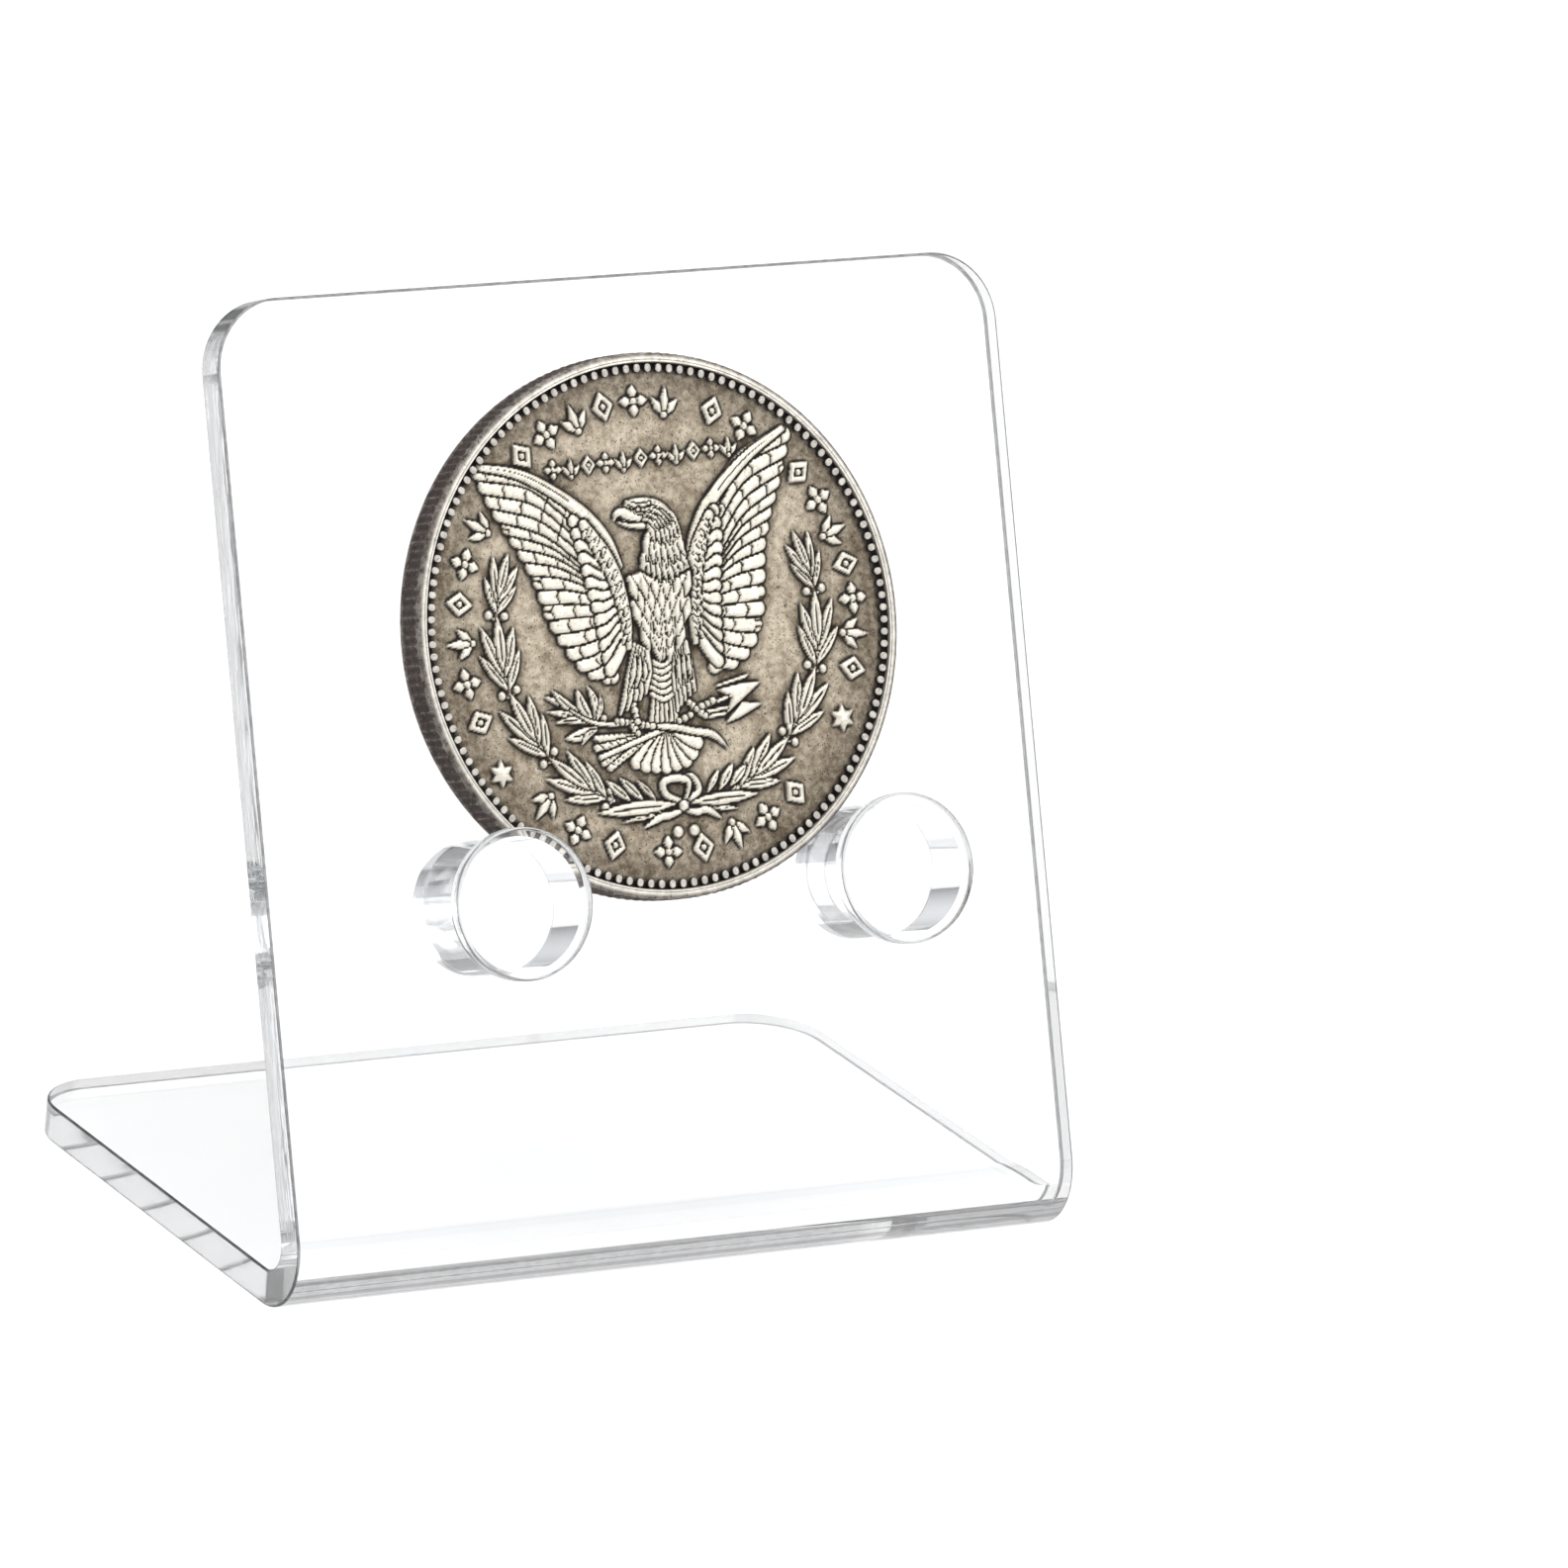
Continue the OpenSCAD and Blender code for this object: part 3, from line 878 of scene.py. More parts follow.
# %% Breast
shape(front, smooth_line([
    (-2.1, 3.6), (-1.9, 2.2), (-1.75, 0.8), (-1.3, -0.6), (-0.7, -1.8), (0.05, -2.5), (0.8, -1.8),
    (1.7, -0.6), (2.35, 0.8), (2.75, 2.2), (2.9, 3.8), (1.6, 3.9), (0.3, 3.7), (-1, 3.9),
]), 0.3, 0.7, moat=0.12, floor=0.08)
for row in reversed(range(6)):
    row_y = 3.5 - 0.88 * row
    half_span = 2.15 * (1 - (row / 6.4) ** 2.2) + 0.2
    in_row = max(2, round(half_span / 0.38))
    for number in range(in_row):
        share = (number + 0.5 * (row % 2)) / max(in_row - 1, 1) * 2 - 1
        if share > 1.01:
            continue
        start = np.array([0.32 + share * half_span - 0.03 * row, row_y])
        drift = -0.42 * share
        feather = [start, start + (drift * 0.35 + 0.05, -0.65), start + (drift, -1.6)]
        stroke(front, feather, (0.14, 0.34, 0.05), 0.12, 0.13, base=0.27, moat=0.07, floor=0.2)
print("breast laid")

# %% [markdown]
# The neck and the head each start as a smooth shape too. The strands that cross the line between them
# hide it. The beak, the brow and the eye come last, since they stand highest.

# %% Neck and head
shape(front, smooth_line([
    (-0.2, 7), (0.05, 6), (-0.15, 5.3), (-0.7, 4.65), (-1.1, 4.2), (-0.6, 3.7), (0.6, 3.2),
    (1.8, 3.4), (2.8, 3.9), (2.5, 4.8), (2.4, 5.8), (2.25, 6.8), (1.9, 7.6), (1, 7.9),
]), 0.28, 0.5, moat=0.12, floor=0.06)
strands(front, [(-0.1, 5.6), (1.1, 5.2), (2.4, 5.4)], [(-0.85, 3.95), (0.1, 3.1), (1.3, 2.95), (2.75, 3.9)],
        9, (0.08, 0.25, 0.04), 0.1, bow=0.12, base=0.25, floor=0.17, stagger=0.2)
strands(front, [(0.1, 6.9), (1.2, 6.8), (2.3, 6.5)], [(-0.5, 4.55), (0.8, 4.0), (2.6, 4.6)],
        7, (0.08, 0.26, 0.04), 0.1, bow=0.1, base=0.27, floor=0.18, stagger=0.22)
shape(front, smooth_line([
    (-0.25, 6.85), (-1.3, 7.15), (-2.1, 7.45), (-2.05, 8.1), (-1.75, 8.75), (-0.9, 8.98), (0, 8.95),
    (0.9, 8.7), (1.6, 8.15), (1.95, 7.4), (1.2, 7.05), (0.5, 6.75),
]), 0.33, 0.5, moat=0.1, floor=0.06)
strands(front, [(0.9, 8.45), (0.5, 7.7), (-0.3, 7.2)], [(2.35, 6.3), (1.5, 5.6), (0.2, 5.8)],
        7, (0.06, 0.21, 0.04), 0.09, bow=-0.09, base=0.28, floor=0.19, stagger=0.25)
strands(front, [(-0.3, 8.65), (-0.4, 8.2), (-0.6, 7.6)], [(1.9, 7.4), (1.3, 6.9), (0.4, 6.6)],
        7, (0.04, 0.13, 0.04), 0.08, bow=-0.12, base=0.29, floor=0.19, stagger=0.3)
lower_beak = [(-0.5, 7.0), (-1.4, 7.05), (-2, 7.2), (-2.45, 7.35)]
upper_beak = [(-0.9, 7.65), (-1.6, 7.85), (-2.2, 8.05), (-2.6, 7.9), (-2.78, 7.55)]
brow = [(-1.75, 8.75), (-1.2, 8.5), (-0.6, 8.42), (0.15, 8.55)]
stroke(front, lower_beak, (0.2, 0.18, 0.08), 0.3, 0.15, moat=0.09, floor=0.08)
stroke(front, upper_beak, (0.36, 0.42, 0.38, 0.26, 0.1), 0.35, 0.26, moat=0.07, floor=0.1)
stroke(front, [(-2.15, 8.5), (-1.8, 8.35), (-1.45, 8.1)], (0.03, 0.05, 0.03), 0.02, 0.04, base=0.1)
stroke(front, brow, (0.1, 0.16, 0.08), 0.38, 0.12, moat=0.08, floor=0.14)
stroke(front, [(-1.2, 8.0), (-0.8, 7.86), (-0.35, 7.95)], (0.03, 0.1, 0.03), 0.35, 0.08,
       moat=0.06, floor=0.12)
pellet(front, (-0.82, 8.16), 0.15, 0.34, moat=0.12, floor=0.05)
print("bird laid")

# %% [markdown]
# The bird grips an olive branch and a sheaf of arrows. A leaf is a stroke that is widest at its
# middle, with a cut down its rib. On coins of this kind the leaves are thin, so the two bright sides
# of a leaf count for more than its outline.

# %% A leaf
def leaf(board, start, end, width=0.36, bow=0.0, height=0.29):
    start, end = np.array(start, float), np.array(end, float)
    side_step = np.array([end[1] - start[1], start[0] - end[0]]) * bow

    def rib(travelled, off, half_width, length):
        body = np.clip(np.minimum(travelled / length - 0.12, 0.86 - travelled / length) / 0.1, 0, 1)
        return line_groove(off, 0.09, 0.2) * body

    line, widths = [start, (start + end) / 2 + side_step, end], (0.07, width * 0.8, width, width * 0.72, 0.03)
    stroke(board, line, widths, height, 0.14, rib, moat=0.08, floor=0.06)


print("leaf ready")

# %% [markdown]
# The branch is nine of these leaves, set by their two ends, with a bud and a twig. The leaves at the
# back are laid first, so that the ones in front cover their roots.

# %% Olive branch
for start, end, width, bow in (
    ((-6.3, -6), (-9.6, -4.2), 0.3, 0.04), ((-6.6, -5.8), (-8.9, -3.8), 0.34, -0.05),
    ((-6.3, -6.1), (-9.4, -5.3), 0.26, 0.03), ((-6, -6.3), (-8.9, -6.1), 0.26, 0.06),
    ((-5.9, -6.2), (-6.9, -3.85), 0.42, -0.08), ((-5.7, -6.2), (-6.05, -3.7), 0.3, 0.12),
    ((-5.6, -6.2), (-5.1, -4.35), 0.22, 0.1), ((-5.6, -6.6), (-8.2, -7.3), 0.42, -0.05),
    ((-5.6, -6.8), (-6.9, -7.8), 0.24, 0.12),
):
    leaf(front, start, end, width, bow)
pellet(front, (-4.95, -6.05), 0.24)
twig = [(-7.6, -5.3), (-6.3, -6.1), (-5.2, -6.45), (-3.6, -6.55)]
stroke(front, twig, (0.08, 0.15, 0.17), 0.3, 0.12, moat=0.08)
print("branch laid")

# %% [markdown]
# The arrows lie under the bird's feet: four feathered ends on the left, three heads and shafts on the
# right, and the branch's stem across them. The claws that hold them are rows of small knuckles.

# %% Arrows and claws
def feather_cuts(travelled, off, width, length):
    phase = (travelled + 0.9 * off) / 0.42
    return line_groove((phase - np.floor(phase) - 0.5) * 0.42, 0.07, 0.18) * (travelled > 0.3 * length)


for end in ((-5.7, -7.45), (-5.75, -8.1), (-5.25, -9.2), (-4.8, -9.55)):
    stroke(front, [(-1.4, -7.5), end], (0.1, 0.24, 0.25), 0.27, 0.13, feather_cuts, moat=0.08, floor=0.06)
stroke(front, [(-0.4, -7.2), (-5.5, -8.75)], (0.2, 0.2, 0.19), 0.32, 0.14, moat=0.09, floor=0.06)
for head_outline in (
    [(7, -3.75), (6.5, -4.15), (3.95, -4.65), (4.15, -4.4)],
    [(7.85, -5.95), (6, -5.75), (4.5, -7.2), (5.8, -6.85)],
    [(7.85, -4.4), (6, -4.45), (4.1, -4.75), (5.2, -5.45), (4.7, -6.55), (5.9, -5.75)],
):
    shape(front, head_outline, 0.31, 0.22, moat=0.1, floor=0.06)
for start, end in (((2.6, -6.0), (4.9, -5.35)), ((2.9, -6.3), (4.8, -6.05)), ((3.1, -6.6), (4.6, -6.45))):
    stroke(front, [start, end], (0.13, 0.13, 0.13), 0.3, 0.12, moat=0.08, floor=0.06)
stroke(front, [(-1.2, -6.95), (0.5, -7.1), (2, -7.5), (3.3, -7.75), (4.1, -8.3), (4.75, -9.1)],
       (0.16, 0.24, 0.27, 0.26, 0.03), 0.33, 0.16, moat=0.1, floor=0.06)
for claw in (
    [(-3.95, -6.35), (-1.2, -6.9)], [(-2.5, -5.35), (-2.35, -6.5)], [(-2.75, -6.8), (-2.4, -7.3)],
    [(0.95, -6.7), (1.9, -6.35)], [(1.9, -5.5), (3.05, -6.5)], [(2.4, -5.95), (3.75, -5.5)],
):
    knuckles = max(2, round(math.dist(*claw) / 0.42))
    for number in range(knuckles + 1):
        knuckle_radius = 0.27 if number % 2 else 0.23
        pellet(front, along_line(claw, number / knuckles), knuckle_radius, 0.34, moat=0.06, floor=0.1)
print("arrows and claws laid")

# %% [markdown]
# The wreath is one spray repeated up each side of the coin. A spray is drawn once, as leaves that
# start part of the way along it and end to the left or right of it, and place_on_wreath bends it
# round the coin.

# %% Wreath
wreath_radius = 12.75
spray_step = 24.4
spray_leaves = (
    (0.02, 0.05, 0.55, 1.6, 0.36), (0.02, -0.05, 0.55, -1.6, 0.36),
    (0.22, 0.12, 0.9, 1.3, 0.42), (0.22, -0.12, 0.9, -1.3, 0.42), (0.3, 0.0, 1.04, 0.0, 0.44),
)


def place_on_wreath(side, turn_degrees, out):
    angle = math.radians(turn_degrees)
    reach = wreath_radius + out
    return (side * reach * math.sin(angle), -reach * math.cos(angle))


for side in (-1, 1):
    for number in reversed(range(4)):
        begin = 24.5 + spray_step * number
        is_tip = number == 3
        long, slim = (0.78, 0.8) if is_tip else (0.94, 1.0)
        stem = [place_on_wreath(side, begin + 24 * share, 0) for share in (-0.1, 0.2, 0.5)]
        stroke(front, stem, (0.14, 0.14, 0.1), 0.26, 0.12, moat=0.08, floor=0.06)
        for t_start, out_start, t_end, out_end, width in spray_leaves:
            leaf_start = place_on_wreath(side, begin + spray_step * long * t_start, out_start)
            leaf_end = place_on_wreath(side, begin + spray_step * long * t_end, out_end * slim)
            leaf(front, leaf_start, leaf_end, width * slim)
        for out in (-0.62, 0.62):
            berry = place_on_wreath(side, begin - 0.4, out)
            stroke(front, [place_on_wreath(side, begin - 2.2, 0), berry], (0.07, 0.07, 0.07), 0.25, 0.08)
            pellet(front, berry, 0.31, moat=0.07, floor=0.06)
print("sprays laid")

# %% [markdown]
# At the bottom the two stems cross under a bow. Its loops and ends are strokes too, laid over the
# lowest leaves, and the knot is a small shape on top.

# %% Bow
for start, end, width in (
    ((-1.5, -11.95), (-2.85, -10.5), 0.24), ((-2.5, -11.9), (-4.2, -10.25), 0.33),
    ((-3.5, -11.9), (-5.3, -10.35), 0.33), ((2.7, -11.8), (3.75, -10.3), 0.24),
    ((3.7, -11.65), (4.9, -9.95), 0.33), ((4.6, -11.45), (5.95, -10.1), 0.33),
    ((-0.7, -12.85), (-4.3, -13.4), 0.2), ((2.4, -12.75), (5.2, -13.15), 0.2),
    ((0.1, -12.4), (-6.2, -12.6), 0.5), ((1.2, -12.4), (6.8, -12.2), 0.44),
):
    leaf(front, start, end, width)
for ribbon, width in (
    ([(0.9, -12.3), (2, -11.6), (1.6, -10.6), (0.9, -10.55)], 0.24),
    ([(0.6, -12.3), (-0.6, -11.7), (-0.75, -10.85), (0.3, -10.65), (1.2, -10.9), (1.1, -11.7),
      (0.75, -12.3)], 0.27),
    ([(0.5, -12.9), (-0.4, -13.15), (-1.2, -13.25), (-2.5, -13.85)], 0.26),
    ([(0.95, -12.9), (1.7, -13.1), (2.5, -13), (3.6, -13.65)], 0.26),
):
    stroke(front, ribbon, (width * 0.7, width, width, width * 0.35), 0.31, 0.16, moat=0.09, floor=0.06)
knot = [(0.35, -12.3), (0.75, -12.15), (1.1, -12.35), (1.05, -12.8), (0.6, -13), (0.3, -12.75)]
shape(front, knot, 0.35, 0.2, moat=0.08)
print("bow laid")

# %% [markdown]
# Real coins carry words in the band outside the wreath. A library part should carry none, so
# ornaments take their places: a lozenge, a four-leaved flower and a palmette follow each other in
# turn.

# %% Three ornaments and a star
def star(centre, outer=1.15, inner=0.6, points=6):
    turns = [math.radians(90 + 180 * i / points) for i in range(2 * points)]
    reaches = [outer if i % 2 == 0 else inner for i in range(2 * points)]
    return [(centre[0] + r * math.cos(a), centre[1] + r * math.sin(a)) for r, a in zip(reaches, turns)]


def ring_point(degrees, reach):
    """A point at an angle clockwise from the top of the coin."""
    angle = math.radians(degrees)
    return np.array([reach * math.sin(angle), reach * math.cos(angle)])


def lozenge(board, centre, degrees, size):
    out, aside = ring_point(degrees, 1), ring_point(degrees + 90, 1)
    for scale, height in ((1.0, 0.27), (0.48, 0.04)):
        corners = [out * size, aside * size * 0.8, -out * size, -aside * size * 0.8]
        shape(board, [centre + corner * scale for corner in corners], height, 0.15)
    pellet(board, centre, size * 0.22, 0.3)


def flower(board, centre, degrees, size):
    for quarter in range(4):
        way = ring_point(degrees + 90 * quarter, 1)
        petal = [centre + way * size * 0.2, centre + way * size]
        stroke(board, petal, (0.12 * size, 0.36 * size, 0.05 * size), 0.28, 0.14, moat=0.05, floor=0.06)
    pellet(board, centre, size * 0.26, 0.31, moat=0.05, floor=0.08)


def palmette(board, centre, degrees, size):
    foot = centre - ring_point(degrees, size * 0.9)
    for tilt in (-42, 42, 0):
        way = ring_point(degrees + tilt, size)
        stroke(board, [foot, foot + way * 0.9, foot + way * (1.45 if tilt else 1.9)],
               (0.1 * size, 0.3 * size, 0.04), 0.28, 0.14, moat=0.07, floor=0.06)
    pellet(board, foot, size * 0.24, 0.3, moat=0.06, floor=0.06)


ornaments = (lozenge, flower, palmette)
print("ornaments ready", [ornament.__name__ for ornament in ornaments])

# %% [markdown]
# The band is not filled evenly. The ornaments stand in groups, as words would, with the stars between
# two of them. A row of smaller ones fills the line over the bird's head.

# %% Ornaments in place of the words
ornament_groups = (
    (-111, -60, 6), (-37.5, 7.5, 6), (21.5, 31.5, 2), (51, 105, 7), (142, 183, 5), (198.5, 221, 3),
)
for begin, end, count in ornament_groups:
    for number in range(count):
        degrees = begin + (end - begin) * number / (count - 1)
        ornaments[number % 3](front, ring_point(degrees, 15.7), degrees, 1.1)
for number in range(11):
    spot_x = -7.2 + 1.4 * number
    ornaments[(number + 1) % 3](front, np.array([spot_x, 11.72 + 0.055 * spot_x]), 0, 0.72)
for centre in ((-13.35, -9.3), (14.0, -7.5)):
    shape(front, star(centre), 0.29, 0.5, moat=0.08, floor=0.06)
for spot_x in (0.1, 1.4):
    pellet(front, (spot_x, -14.35), 0.42, 0.28)
print("ornaments laid")

# %% [markdown]
# An antique finish is a dark bath that is wiped off again. The wiping takes it from all that stands
# proud and leaves it in every cut and round the foot of every form. So the wear is read from the
# board itself: a blurred copy of the heights lies above the board in a hollow and below it on a
# crest. The wiping cloth hardly gets under the rim, so the field also darkens towards the studs.

# %% Read the hollows and the crests
def blurred(values, spread):
    reach = int(np.ceil(3 * spread))
    kernel = np.exp(-0.5 * (np.arange(-reach, reach + 1) / spread) ** 2)
    kernel /= kernel.sum()

    def blurred_row(row):
        return np.convolve(np.pad(row, reach, mode="edge"), kernel, "valid")

    for axis in (0, 1):
        values = np.apply_along_axis(blurred_row, axis, values)
    return values


def ramp(values, low, high):
    share = np.clip((values - low) / (high - low), 0, 1)
    return share * share * (3 - 2 * share)


def read_wear(board):
    heights = blurred(board.height, 0.45)
    close = blurred(heights, 0.15 / board.pitch)
    wide = blurred((heights > 0.12).astype(float), 0.55 / board.pitch)
    crest = ramp(heights, 0.1, 0.2) * (1 - ramp(close - heights, 0.0, 0.04))
    hollow = ramp(close - heights, 0.006, 0.04)
    from_middle = np.hypot(board.x, board.y)
    hollow = np.maximum(hollow, 0.7 * ramp(from_middle, 17.45, 17.75))
    halo = np.maximum(ramp(wide, 0.0, 0.45), 0.75 * ramp(from_middle, 13.5, 18.0)) * (1 - crest)
    return heights, {"crest": crest, "hollow": hollow, "halo": halo}


front_heights, front_wear = read_wear(front)
print("share of the front that is polished", round(float(front_wear["crest"].mean()), 2))

# %% [markdown]
# The far side is not seen in the main view, but a coin has two sides. Its design is a plain one made
# for this part: rays round a flower, a ring of leaves and a band of pellets.

# %% Draw the far side
back = ReliefBoard(18.0, 240)
for number in range(32):
    reach = 8.2 if number % 2 else 6.9
    ray = [ring_point(number * 11.25, 3.4), ring_point(number * 11.25, reach)]
    stroke(back, ray, (0.1, 0.34, 0.04), 0.28, 0.25)
for number in range(12):
    petal = [ring_point(number * 30, 0.7), ring_point(number * 30, 2.9)]
    stroke(back, petal, (0.15, 0.62, 0.1), 0.3, 0.4, moat=0.1)
pellet(back, (0, 0), 0.8, 0.36, moat=0.12)
for number in range(36):
    for side in (-1, 1):
        stroke(back, [ring_point(number * 10, 11), ring_point(number * 10 + 4.5, 11 + 1.3 * side)],
               (0.1, 0.4, 0.05), 0.29, 0.2, moat=0.1, floor=0.06)
    pellet(back, ring_point(number * 10 + 5, 15.4), 0.55 if number % 3 else 0.8, 0.3)
stroke(back, [ring_point(4 * number, 11) for number in range(91)], (0.14, 0.14), 0.3, 0.12, steps=1, moat=0.1)
back_heights, back_wear = read_wear(back)
print("far side drawn")

# %% [markdown]
# A fine grid becomes the struck face. Points outside the field are deleted, and those left on the
# ragged rim are later drawn onto a true circle. A round disc could be cut up instead, but only a grid
# has points that line up with the board's cells, so that each takes its height from one cell.

# %% Trim a grid to the coin's field
field_depth = 0.45
face_radius = 17.85
reading_names = ("crest", "hollow", "halo")


def points_of(mesh):
    points = np.empty(len(mesh.vertices) * 3)
    mesh.vertices.foreach_get("co", points)
    return points.reshape(-1, 3)


def trimmed_grid(board):
    """A grid with the board's spacing, as a disc, and which of its points are on the rim."""
    cells = board.cells
    bpy.ops.mesh.primitive_grid_add(x_subdivisions=cells, y_subdivisions=cells, size=2 * board.reach)
    disc = bpy.context.object
    pick(disc, lambda c, n: radius_of(c) > face_radius + 0.45 * board.pitch)
    bpy.ops.mesh.delete(type="VERT")
    bpy.ops.mesh.select_all(action="SELECT")
    bpy.ops.mesh.region_to_loop()
    done()
    on_rim = np.empty(len(disc.data.vertices), bool)
    disc.data.vertices.foreach_get("select", on_rim)
    return disc, on_rim


print("field", 2 * face_radius, "mm across,", field_depth, "mm below the rims")

# %% [markdown]
# The board lifts the points of the disc and gives each its three readings. Then the rim, still
# selected, is extruded down, pressed flat and filled below. That makes a thin closed disc, which sits
# in the coin's blank like an inlay. The same steps make the far side, which is turned over later.

# %% Strike both faces
def struck_face(name, board, heights, wear):
    face, on_rim = trimmed_grid(board)
    points = points_of(face.data)
    column, row = np.rint((points[:, :2].T + board.reach) / board.pitch).astype(int)
    field_level = coin_thickness / mm / 2 - field_depth
    points[:, 2] = field_level + heights[row, column]
    distance = np.hypot(points[:, 0], points[:, 1])
    points[on_rim, :2] *= (face_radius / distance[on_rim])[:, None]
    face.data.vertices.foreach_set("co", points.ravel())
    for label in reading_names:
        layer = face.data.attributes.new(label, "FLOAT", "POINT")
        layer.data.foreach_set("value", wear[label][row, column])
    bpy.ops.object.mode_set(mode="EDIT")
    bpy.ops.mesh.extrude_region_move(TRANSFORM_OT_translate={"value": (0, 0, -0.25)})
    bpy.ops.transform.resize(value=(1, 1, 0), center_override=(0, 0, field_level - 0.2))
    bpy.ops.mesh.edge_face_add()
    bpy.ops.mesh.select_all(action="SELECT")
    bpy.ops.mesh.normals_make_consistent(inside=False)
    done()
    bpy.ops.object.shade_smooth_by_angle(angle=math.radians(85))
    face.name = name
    return face


front_face = struck_face("coin_front_relief", front, front_heights, front_wear)
back_face = struck_face("coin_back_relief", back, back_heights, back_wear)
print("front grid", len(front_face.data.polygons), "faces, far side", len(back_face.data.polygons))

# %% [markdown]
# The blank is a disc whose edge was squeezed into a reeded collar. A cylinder with six points a reed
# is the plain disc. Its two faces are extruded and drawn in along the rim's profile: a worn outer
# corner where the reeds fade out, the flat, a fine turned line, and the wall down to the field. Then
# the valleys are pressed into the edge.

# %% The blank and its reeded edge
reeds = 180
reed_depth = 0.13
radius = coin_radius / mm
half_thick = coin_thickness / mm / 2
edge_level = half_thick - 0.8
rim_profile = (
    (radius - 0.02, half_thick - 0.38), (radius - 0.1, half_thick - 0.14), (radius - 0.22, half_thick - 0.04),
    (radius - 0.4, half_thick), (radius - 0.5, half_thick), (radius - 0.53, half_thick - 0.035),
    (radius - 0.58, half_thick), (radius - 0.68, half_thick), (radius - 0.73, half_thick - 0.09),
    (radius - 0.76, half_thick - field_depth - 0.03),
)
bpy.ops.mesh.primitive_cylinder_add(vertices=reeds * 6, radius=radius, depth=2 * edge_level)
blank = bpy.context.object
for way in (1, -1):
    pick(blank, lambda c, n: n.z * way > 0.9, "FACE")
    reach, level = radius, edge_level
    for next_reach, next_level in rim_profile:
        ratio = next_reach / reach
        bpy.ops.mesh.extrude_region_move(TRANSFORM_OT_translate={"value": (0, 0, (next_level - level) * way)})
        bpy.ops.transform.resize(value=(ratio, ratio, 1), center_override=(0, 0, 0))
        reach, level = next_reach, next_level
    done()


def reed_at(point):
    """How many reeds lie between the x axis and this point, as a number with a fraction."""
    return math.degrees(math.atan2(point.y, point.x)) * reeds / 360


for point in blank.data.vertices:
    if radius_of(point.co) > radius - 0.05:
        valley = (0.5 - 0.5 * math.cos(2 * math.pi * reed_at(point.co))) ** 0.5
        depth = reed_depth if abs(point.co.z) < edge_level + 0.01 else 0.4 * reed_depth
        point.co.xy *= 1 - depth / radius * valley
only(blank)
bpy.ops.object.shade_smooth_by_angle(angle=math.radians(35))
print("blank", [round(size, 2) for size in blank.dimensions], "mm with", len(blank.data.vertices), "points")

# %% [markdown]
# Inside the rim stands a row of studs, like teeth. One stud is modelled: a short round bar, its outer
# half drawn out until it runs into the rim's wall, and its top inset twice for a worn, rounded edge.
# It is then copied round the coin on both sides, and the copies are joined to the blank.

# %% Studs inside the rim
studs = 132
stud_inner = 17.62
stud_radius = 0.27
stud_middle = stud_inner + stud_radius
bpy.ops.mesh.primitive_cylinder_add(vertices=16, radius=stud_radius, depth=0.4, location=(stud_middle, 0, 0))
stud = bpy.context.object
bpy.ops.object.transform_apply(location=True, rotation=True, scale=True)
for point in stud.data.vertices:
    if point.co.x > stud_middle + 0.01:
        point.co.x += 0.1
pick(stud, lambda c, n: n.z > 0.9, "FACE")
bpy.ops.mesh.inset(thickness=0.05, depth=0.045)
bpy.ops.mesh.inset(thickness=0.06, depth=0.02)
done()
stud_top = max(v.co.z for v in stud.data.vertices)
copies = [blank]
for number in range(studs):
    for way in (1, -1):
        copy = stud.copy()
        copy.data = stud.data.copy()
        scene.collection.objects.link(copy)
        flip = Matrix.Identity(4) if way > 0 else Matrix.Rotation(math.pi, 4, "X")
        lift = Matrix.Translation((0, 0, half_thick - 0.07 - stud_top))
        copy.matrix_world = Matrix.Rotation(2 * math.pi * number / studs, 4, "Z") @ flip @ lift
        copies.append(copy)
bpy.data.objects.remove(stud)
bpy.ops.object.select_all(action="DESELECT")
for copy in copies:
    copy.select_set(True)
bpy.context.view_layer.objects.active = blank
bpy.ops.object.join()
print("blank with studs", len(blank.data.polygons), "faces")

# %% [markdown]
# The blank needs the same three readings as the struck faces, so that one finish suits them all. They
# come from where a point lies: the flat of the rim and the tops of the studs are polished, the
# valleys of the reeding and the foot of every stud keep the dark bath. No two reeds are rubbed quite
# alike.

# %% Read the blank
stud_level = half_thick - 0.07


def blank_readings(point):
    """Crest, hollow and halo at a point of the blank."""
    reach, level = radius_of(point), abs(point.z)
    if reach > radius - 0.7 and level > half_thick - 0.1:
        return (0.95, 0.0, 0.0) if level > half_thick - 0.03 else (0.35, 0.0, 0.8)
    if level > stud_level - 0.03:
        return 0.72, 0.0, 0.0
    if reach < radius - 0.4:
        return 0.0, 0.9, 0.8
    rubbing = 0.5 + 0.5 * math.sin(2.4 * round(reed_at(point)))
    if level > edge_level + 0.05:
        return 0.34 - 0.14 * rubbing, 0.0, 0.5
    ridge = 1 - (radius - reach) / reed_depth
    return (0.12 + 0.12 * rubbing) * (ridge > 0.85), max(0.0, 0.5 - ridge), 0.5


readings = [blank_readings(point.co) for point in blank.data.vertices]
for label, values in zip(reading_names, zip(*readings)):
    layer = blank.data.attributes.new(label, "FLOAT", "POINT")
    layer.data.foreach_set("value", values)
print("blank read at", len(readings), "points")

# %% [markdown]
# ## Antique silver
# The finish has three layers: bright worn metal on the crests, a warm grey-brown stain on the field,
# and near-black bath in the hollows. The stain is never even. It has soft clouds a few millimetres
# wide, a fine mottle, dark specks and tiny glints of bare metal. One group makes all of this, and the
# struck faces and the reeded blank use it with their own stain.

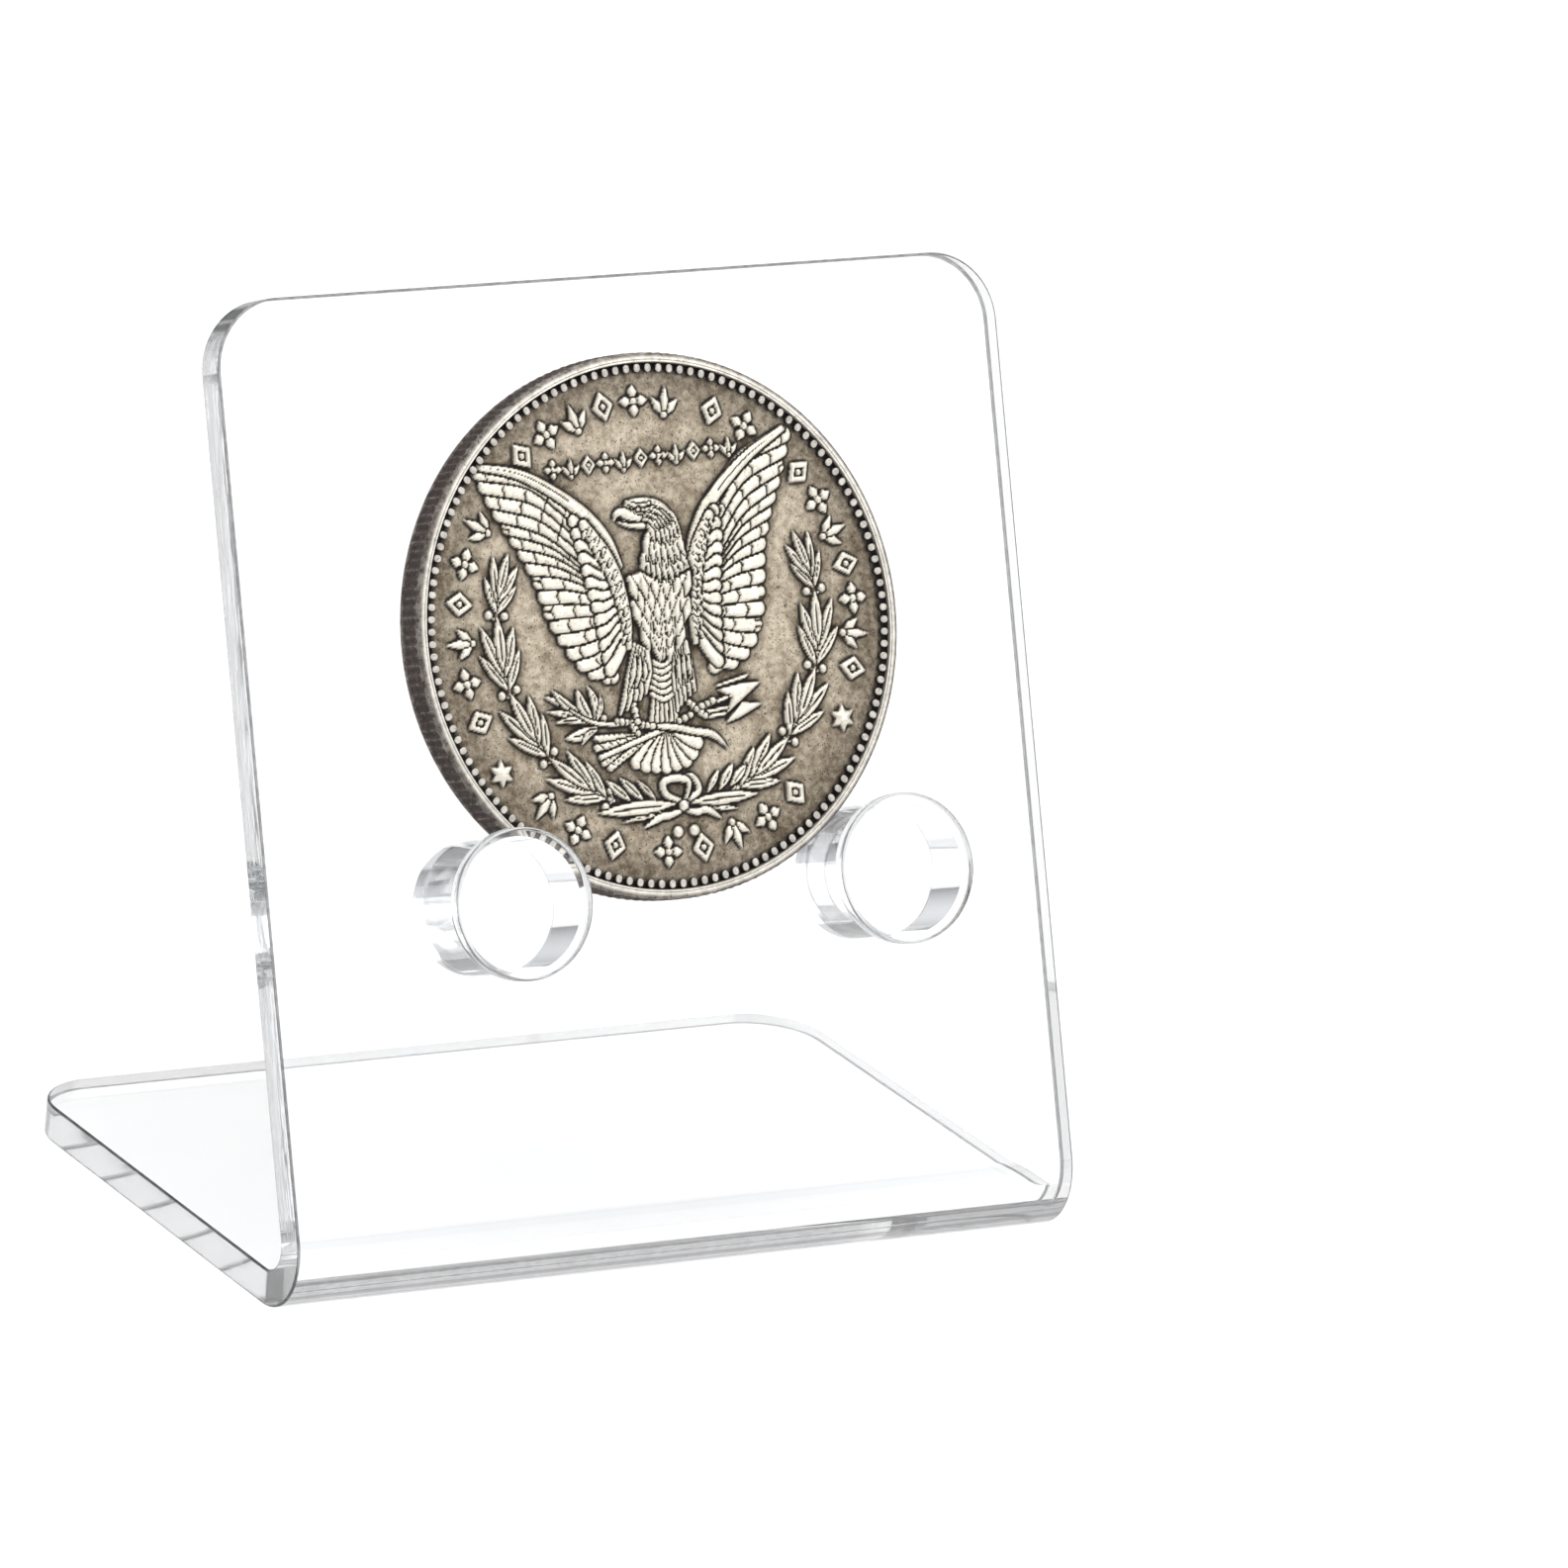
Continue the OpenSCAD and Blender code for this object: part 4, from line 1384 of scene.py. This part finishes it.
# %% Shared patina
patina, patina_in, patina_out = new_group(
    "antique_patina",
    [(reading.title(), "NodeSocketFloat", 0.0) for reading in reading_names]
    + [(label, "NodeSocketColor", None) for label in ("Pale Stain", "Dark Stain", "Worn Metal")],
    [
        ("Tone", "NodeSocketColor"),
        ("Roughness", "NodeSocketFloat"),
        ("Metallic", "NodeSocketFloat"),
        ("Height", "NodeSocketFloat"),
    ],
)
clouds = remap(patina, noise(patina, 4.5 * mm, 3), 0.4, 0.6)
mottle = remap(patina, noise(patina, 0.55 * mm, 4, 0.65), 0.3, 0.7)
specks = remap(patina, noise(patina, 0.15 * mm, 1), 0.6, 0.72)
glints = remap(patina, noise(patina, 0.17 * mm, 1), 0.66, 0.74)
worn_metal, in_hollow = patina_in.outputs["Worn Metal"], patina_in.outputs["Hollow"]
stain_share = plus(patina, times(patina, clouds, 0.32), times(patina, mottle, 0.55))
stain = mixed(patina, stain_share, patina_in.outputs["Pale Stain"], patina_in.outputs["Dark Stain"])
stain = mixed(patina, times(patina, glints, 0.45), stain, worn_metal)
stain = mixed(patina, times(patina, specks, 0.8), stain, (0.03, 0.022, 0.015, 1))
shade_depth = plus(patina, times(patina, mottle, 0.35), 0.62)
shade = times(patina, patina_in.outputs["Halo"], shade_depth, True)
stain = mixed(patina, shade, stain, (0.062, 0.043, 0.022, 1))
print("stain made of", len(patina.nodes), "nodes")

# %% [markdown]
# The bath is rubbed off the crests, a little less where it mottles. Bare metal is smoother and more
# metallic, and the black in the hollows is neither. The field's fine grain goes with the stain.

# %% Rub the bath off the crests
rubbed = minus(patina, patina_in.outputs["Crest"], times(patina, mottle, 0.22), True)
rubbed = minus(patina, rubbed, times(patina, specks, 0.25), True)
tone = mixed(patina, in_hollow, mixed(patina, rubbed, stain, worn_metal), (0.008, 0.006, 0.005, 1))
dull = plus(patina, minus(patina, 0.62, times(patina, rubbed, 0.24)), times(patina, mottle, 0.08))
dull = maths(patina, "ADD", dull, times(patina, in_hollow, 0.25), True)
bare = plus(patina, times(patina, rubbed, 0.3), 0.65)
bare = minus(patina, bare, times(patina, in_hollow, 0.8), True)
coarse_grain = times(patina, noise(patina, 0.35 * mm, 2), 1.2)
grain = plus(patina, noise(patina, 0.11 * mm, 2), coarse_grain)
grain = times(patina, grain, minus(patina, 1.0, times(patina, rubbed, 0.75)))
for label, result in (("Tone", tone), ("Roughness", dull), ("Metallic", bare), ("Height", grain)):
    patina.links.new(result, patina_out.inputs[label])
print("patina group has", len(patina.nodes), "nodes")

# %% [markdown]
# Each finish feeds the piece's three readings and its own three colours into the group. The stain of
# the struck faces is warm and fairly light. The reeded edge was never wiped so well, so its stain is
# much darker.

# %% The two silver finishes
def antique_silver(name, pale, dark, worn, grain_height):
    material, tree, shader = new_material(name)
    group = use_group(tree, patina, **{"Pale Stain": pale, "Dark Stain": dark, "Worn Metal": worn})
    for label in reading_names:
        reading = add_node(tree, "ShaderNodeAttribute", attribute_name=label)
        tree.links.new(reading.outputs["Fac"], group.inputs[label.title()])
    for output, socket in (("Tone", "Base Color"), ("Roughness", "Roughness"), ("Metallic", "Metallic")):
        tree.links.new(group.outputs[output], shader.inputs[socket])
    bump = add_node(tree, "ShaderNodeBump")
    bump.inputs["Strength"].default_value = 0.7
    bump.inputs["Distance"].default_value = grain_height
    tree.links.new(group.outputs["Height"], bump.inputs["Height"])
    tree.links.new(bump.outputs["Normal"], shader.inputs["Normal"])
    return material


struck_silver = antique_silver(
    "struck_antique_silver", (0.7, 0.615, 0.49, 1), (0.21, 0.158, 0.098, 1), (0.84, 0.8, 0.7, 1), 0.035 * mm
)
edge_silver = antique_silver(
    "reeded_antique_silver", (0.13, 0.1, 0.1, 1), (0.05, 0.036, 0.038, 1), (0.86, 0.82, 0.74, 1), 0.025 * mm
)
print("silver finishes", [m.name for m in (struck_silver, edge_silver)])

# %% [markdown]
# The coin was worked in millimetres, lying flat round its own centre. One matrix scales it to metres
# and sets it where the CAD coin is. The far side is turned over first. All three pieces ride on the
# coin's body.

# %% Put the coin in its place
to_metres = Matrix.Scale(mm, 4)
turned_over = Matrix.Rotation(math.pi, 4, "Y")
for piece, name, own_turn, finish in (
    (blank, "coin_blank", Matrix.Identity(4), edge_silver),
    (front_face, "coin_front_relief", Matrix.Identity(4), struck_silver),
    (back_face, "coin_back_relief", turned_over, struck_silver),
):
    apply_place(piece, coin_place @ to_metres @ own_turn)
    piece.data.materials.append(finish)
    finish_piece(piece, name, "coin", "antique_silver", "coin")
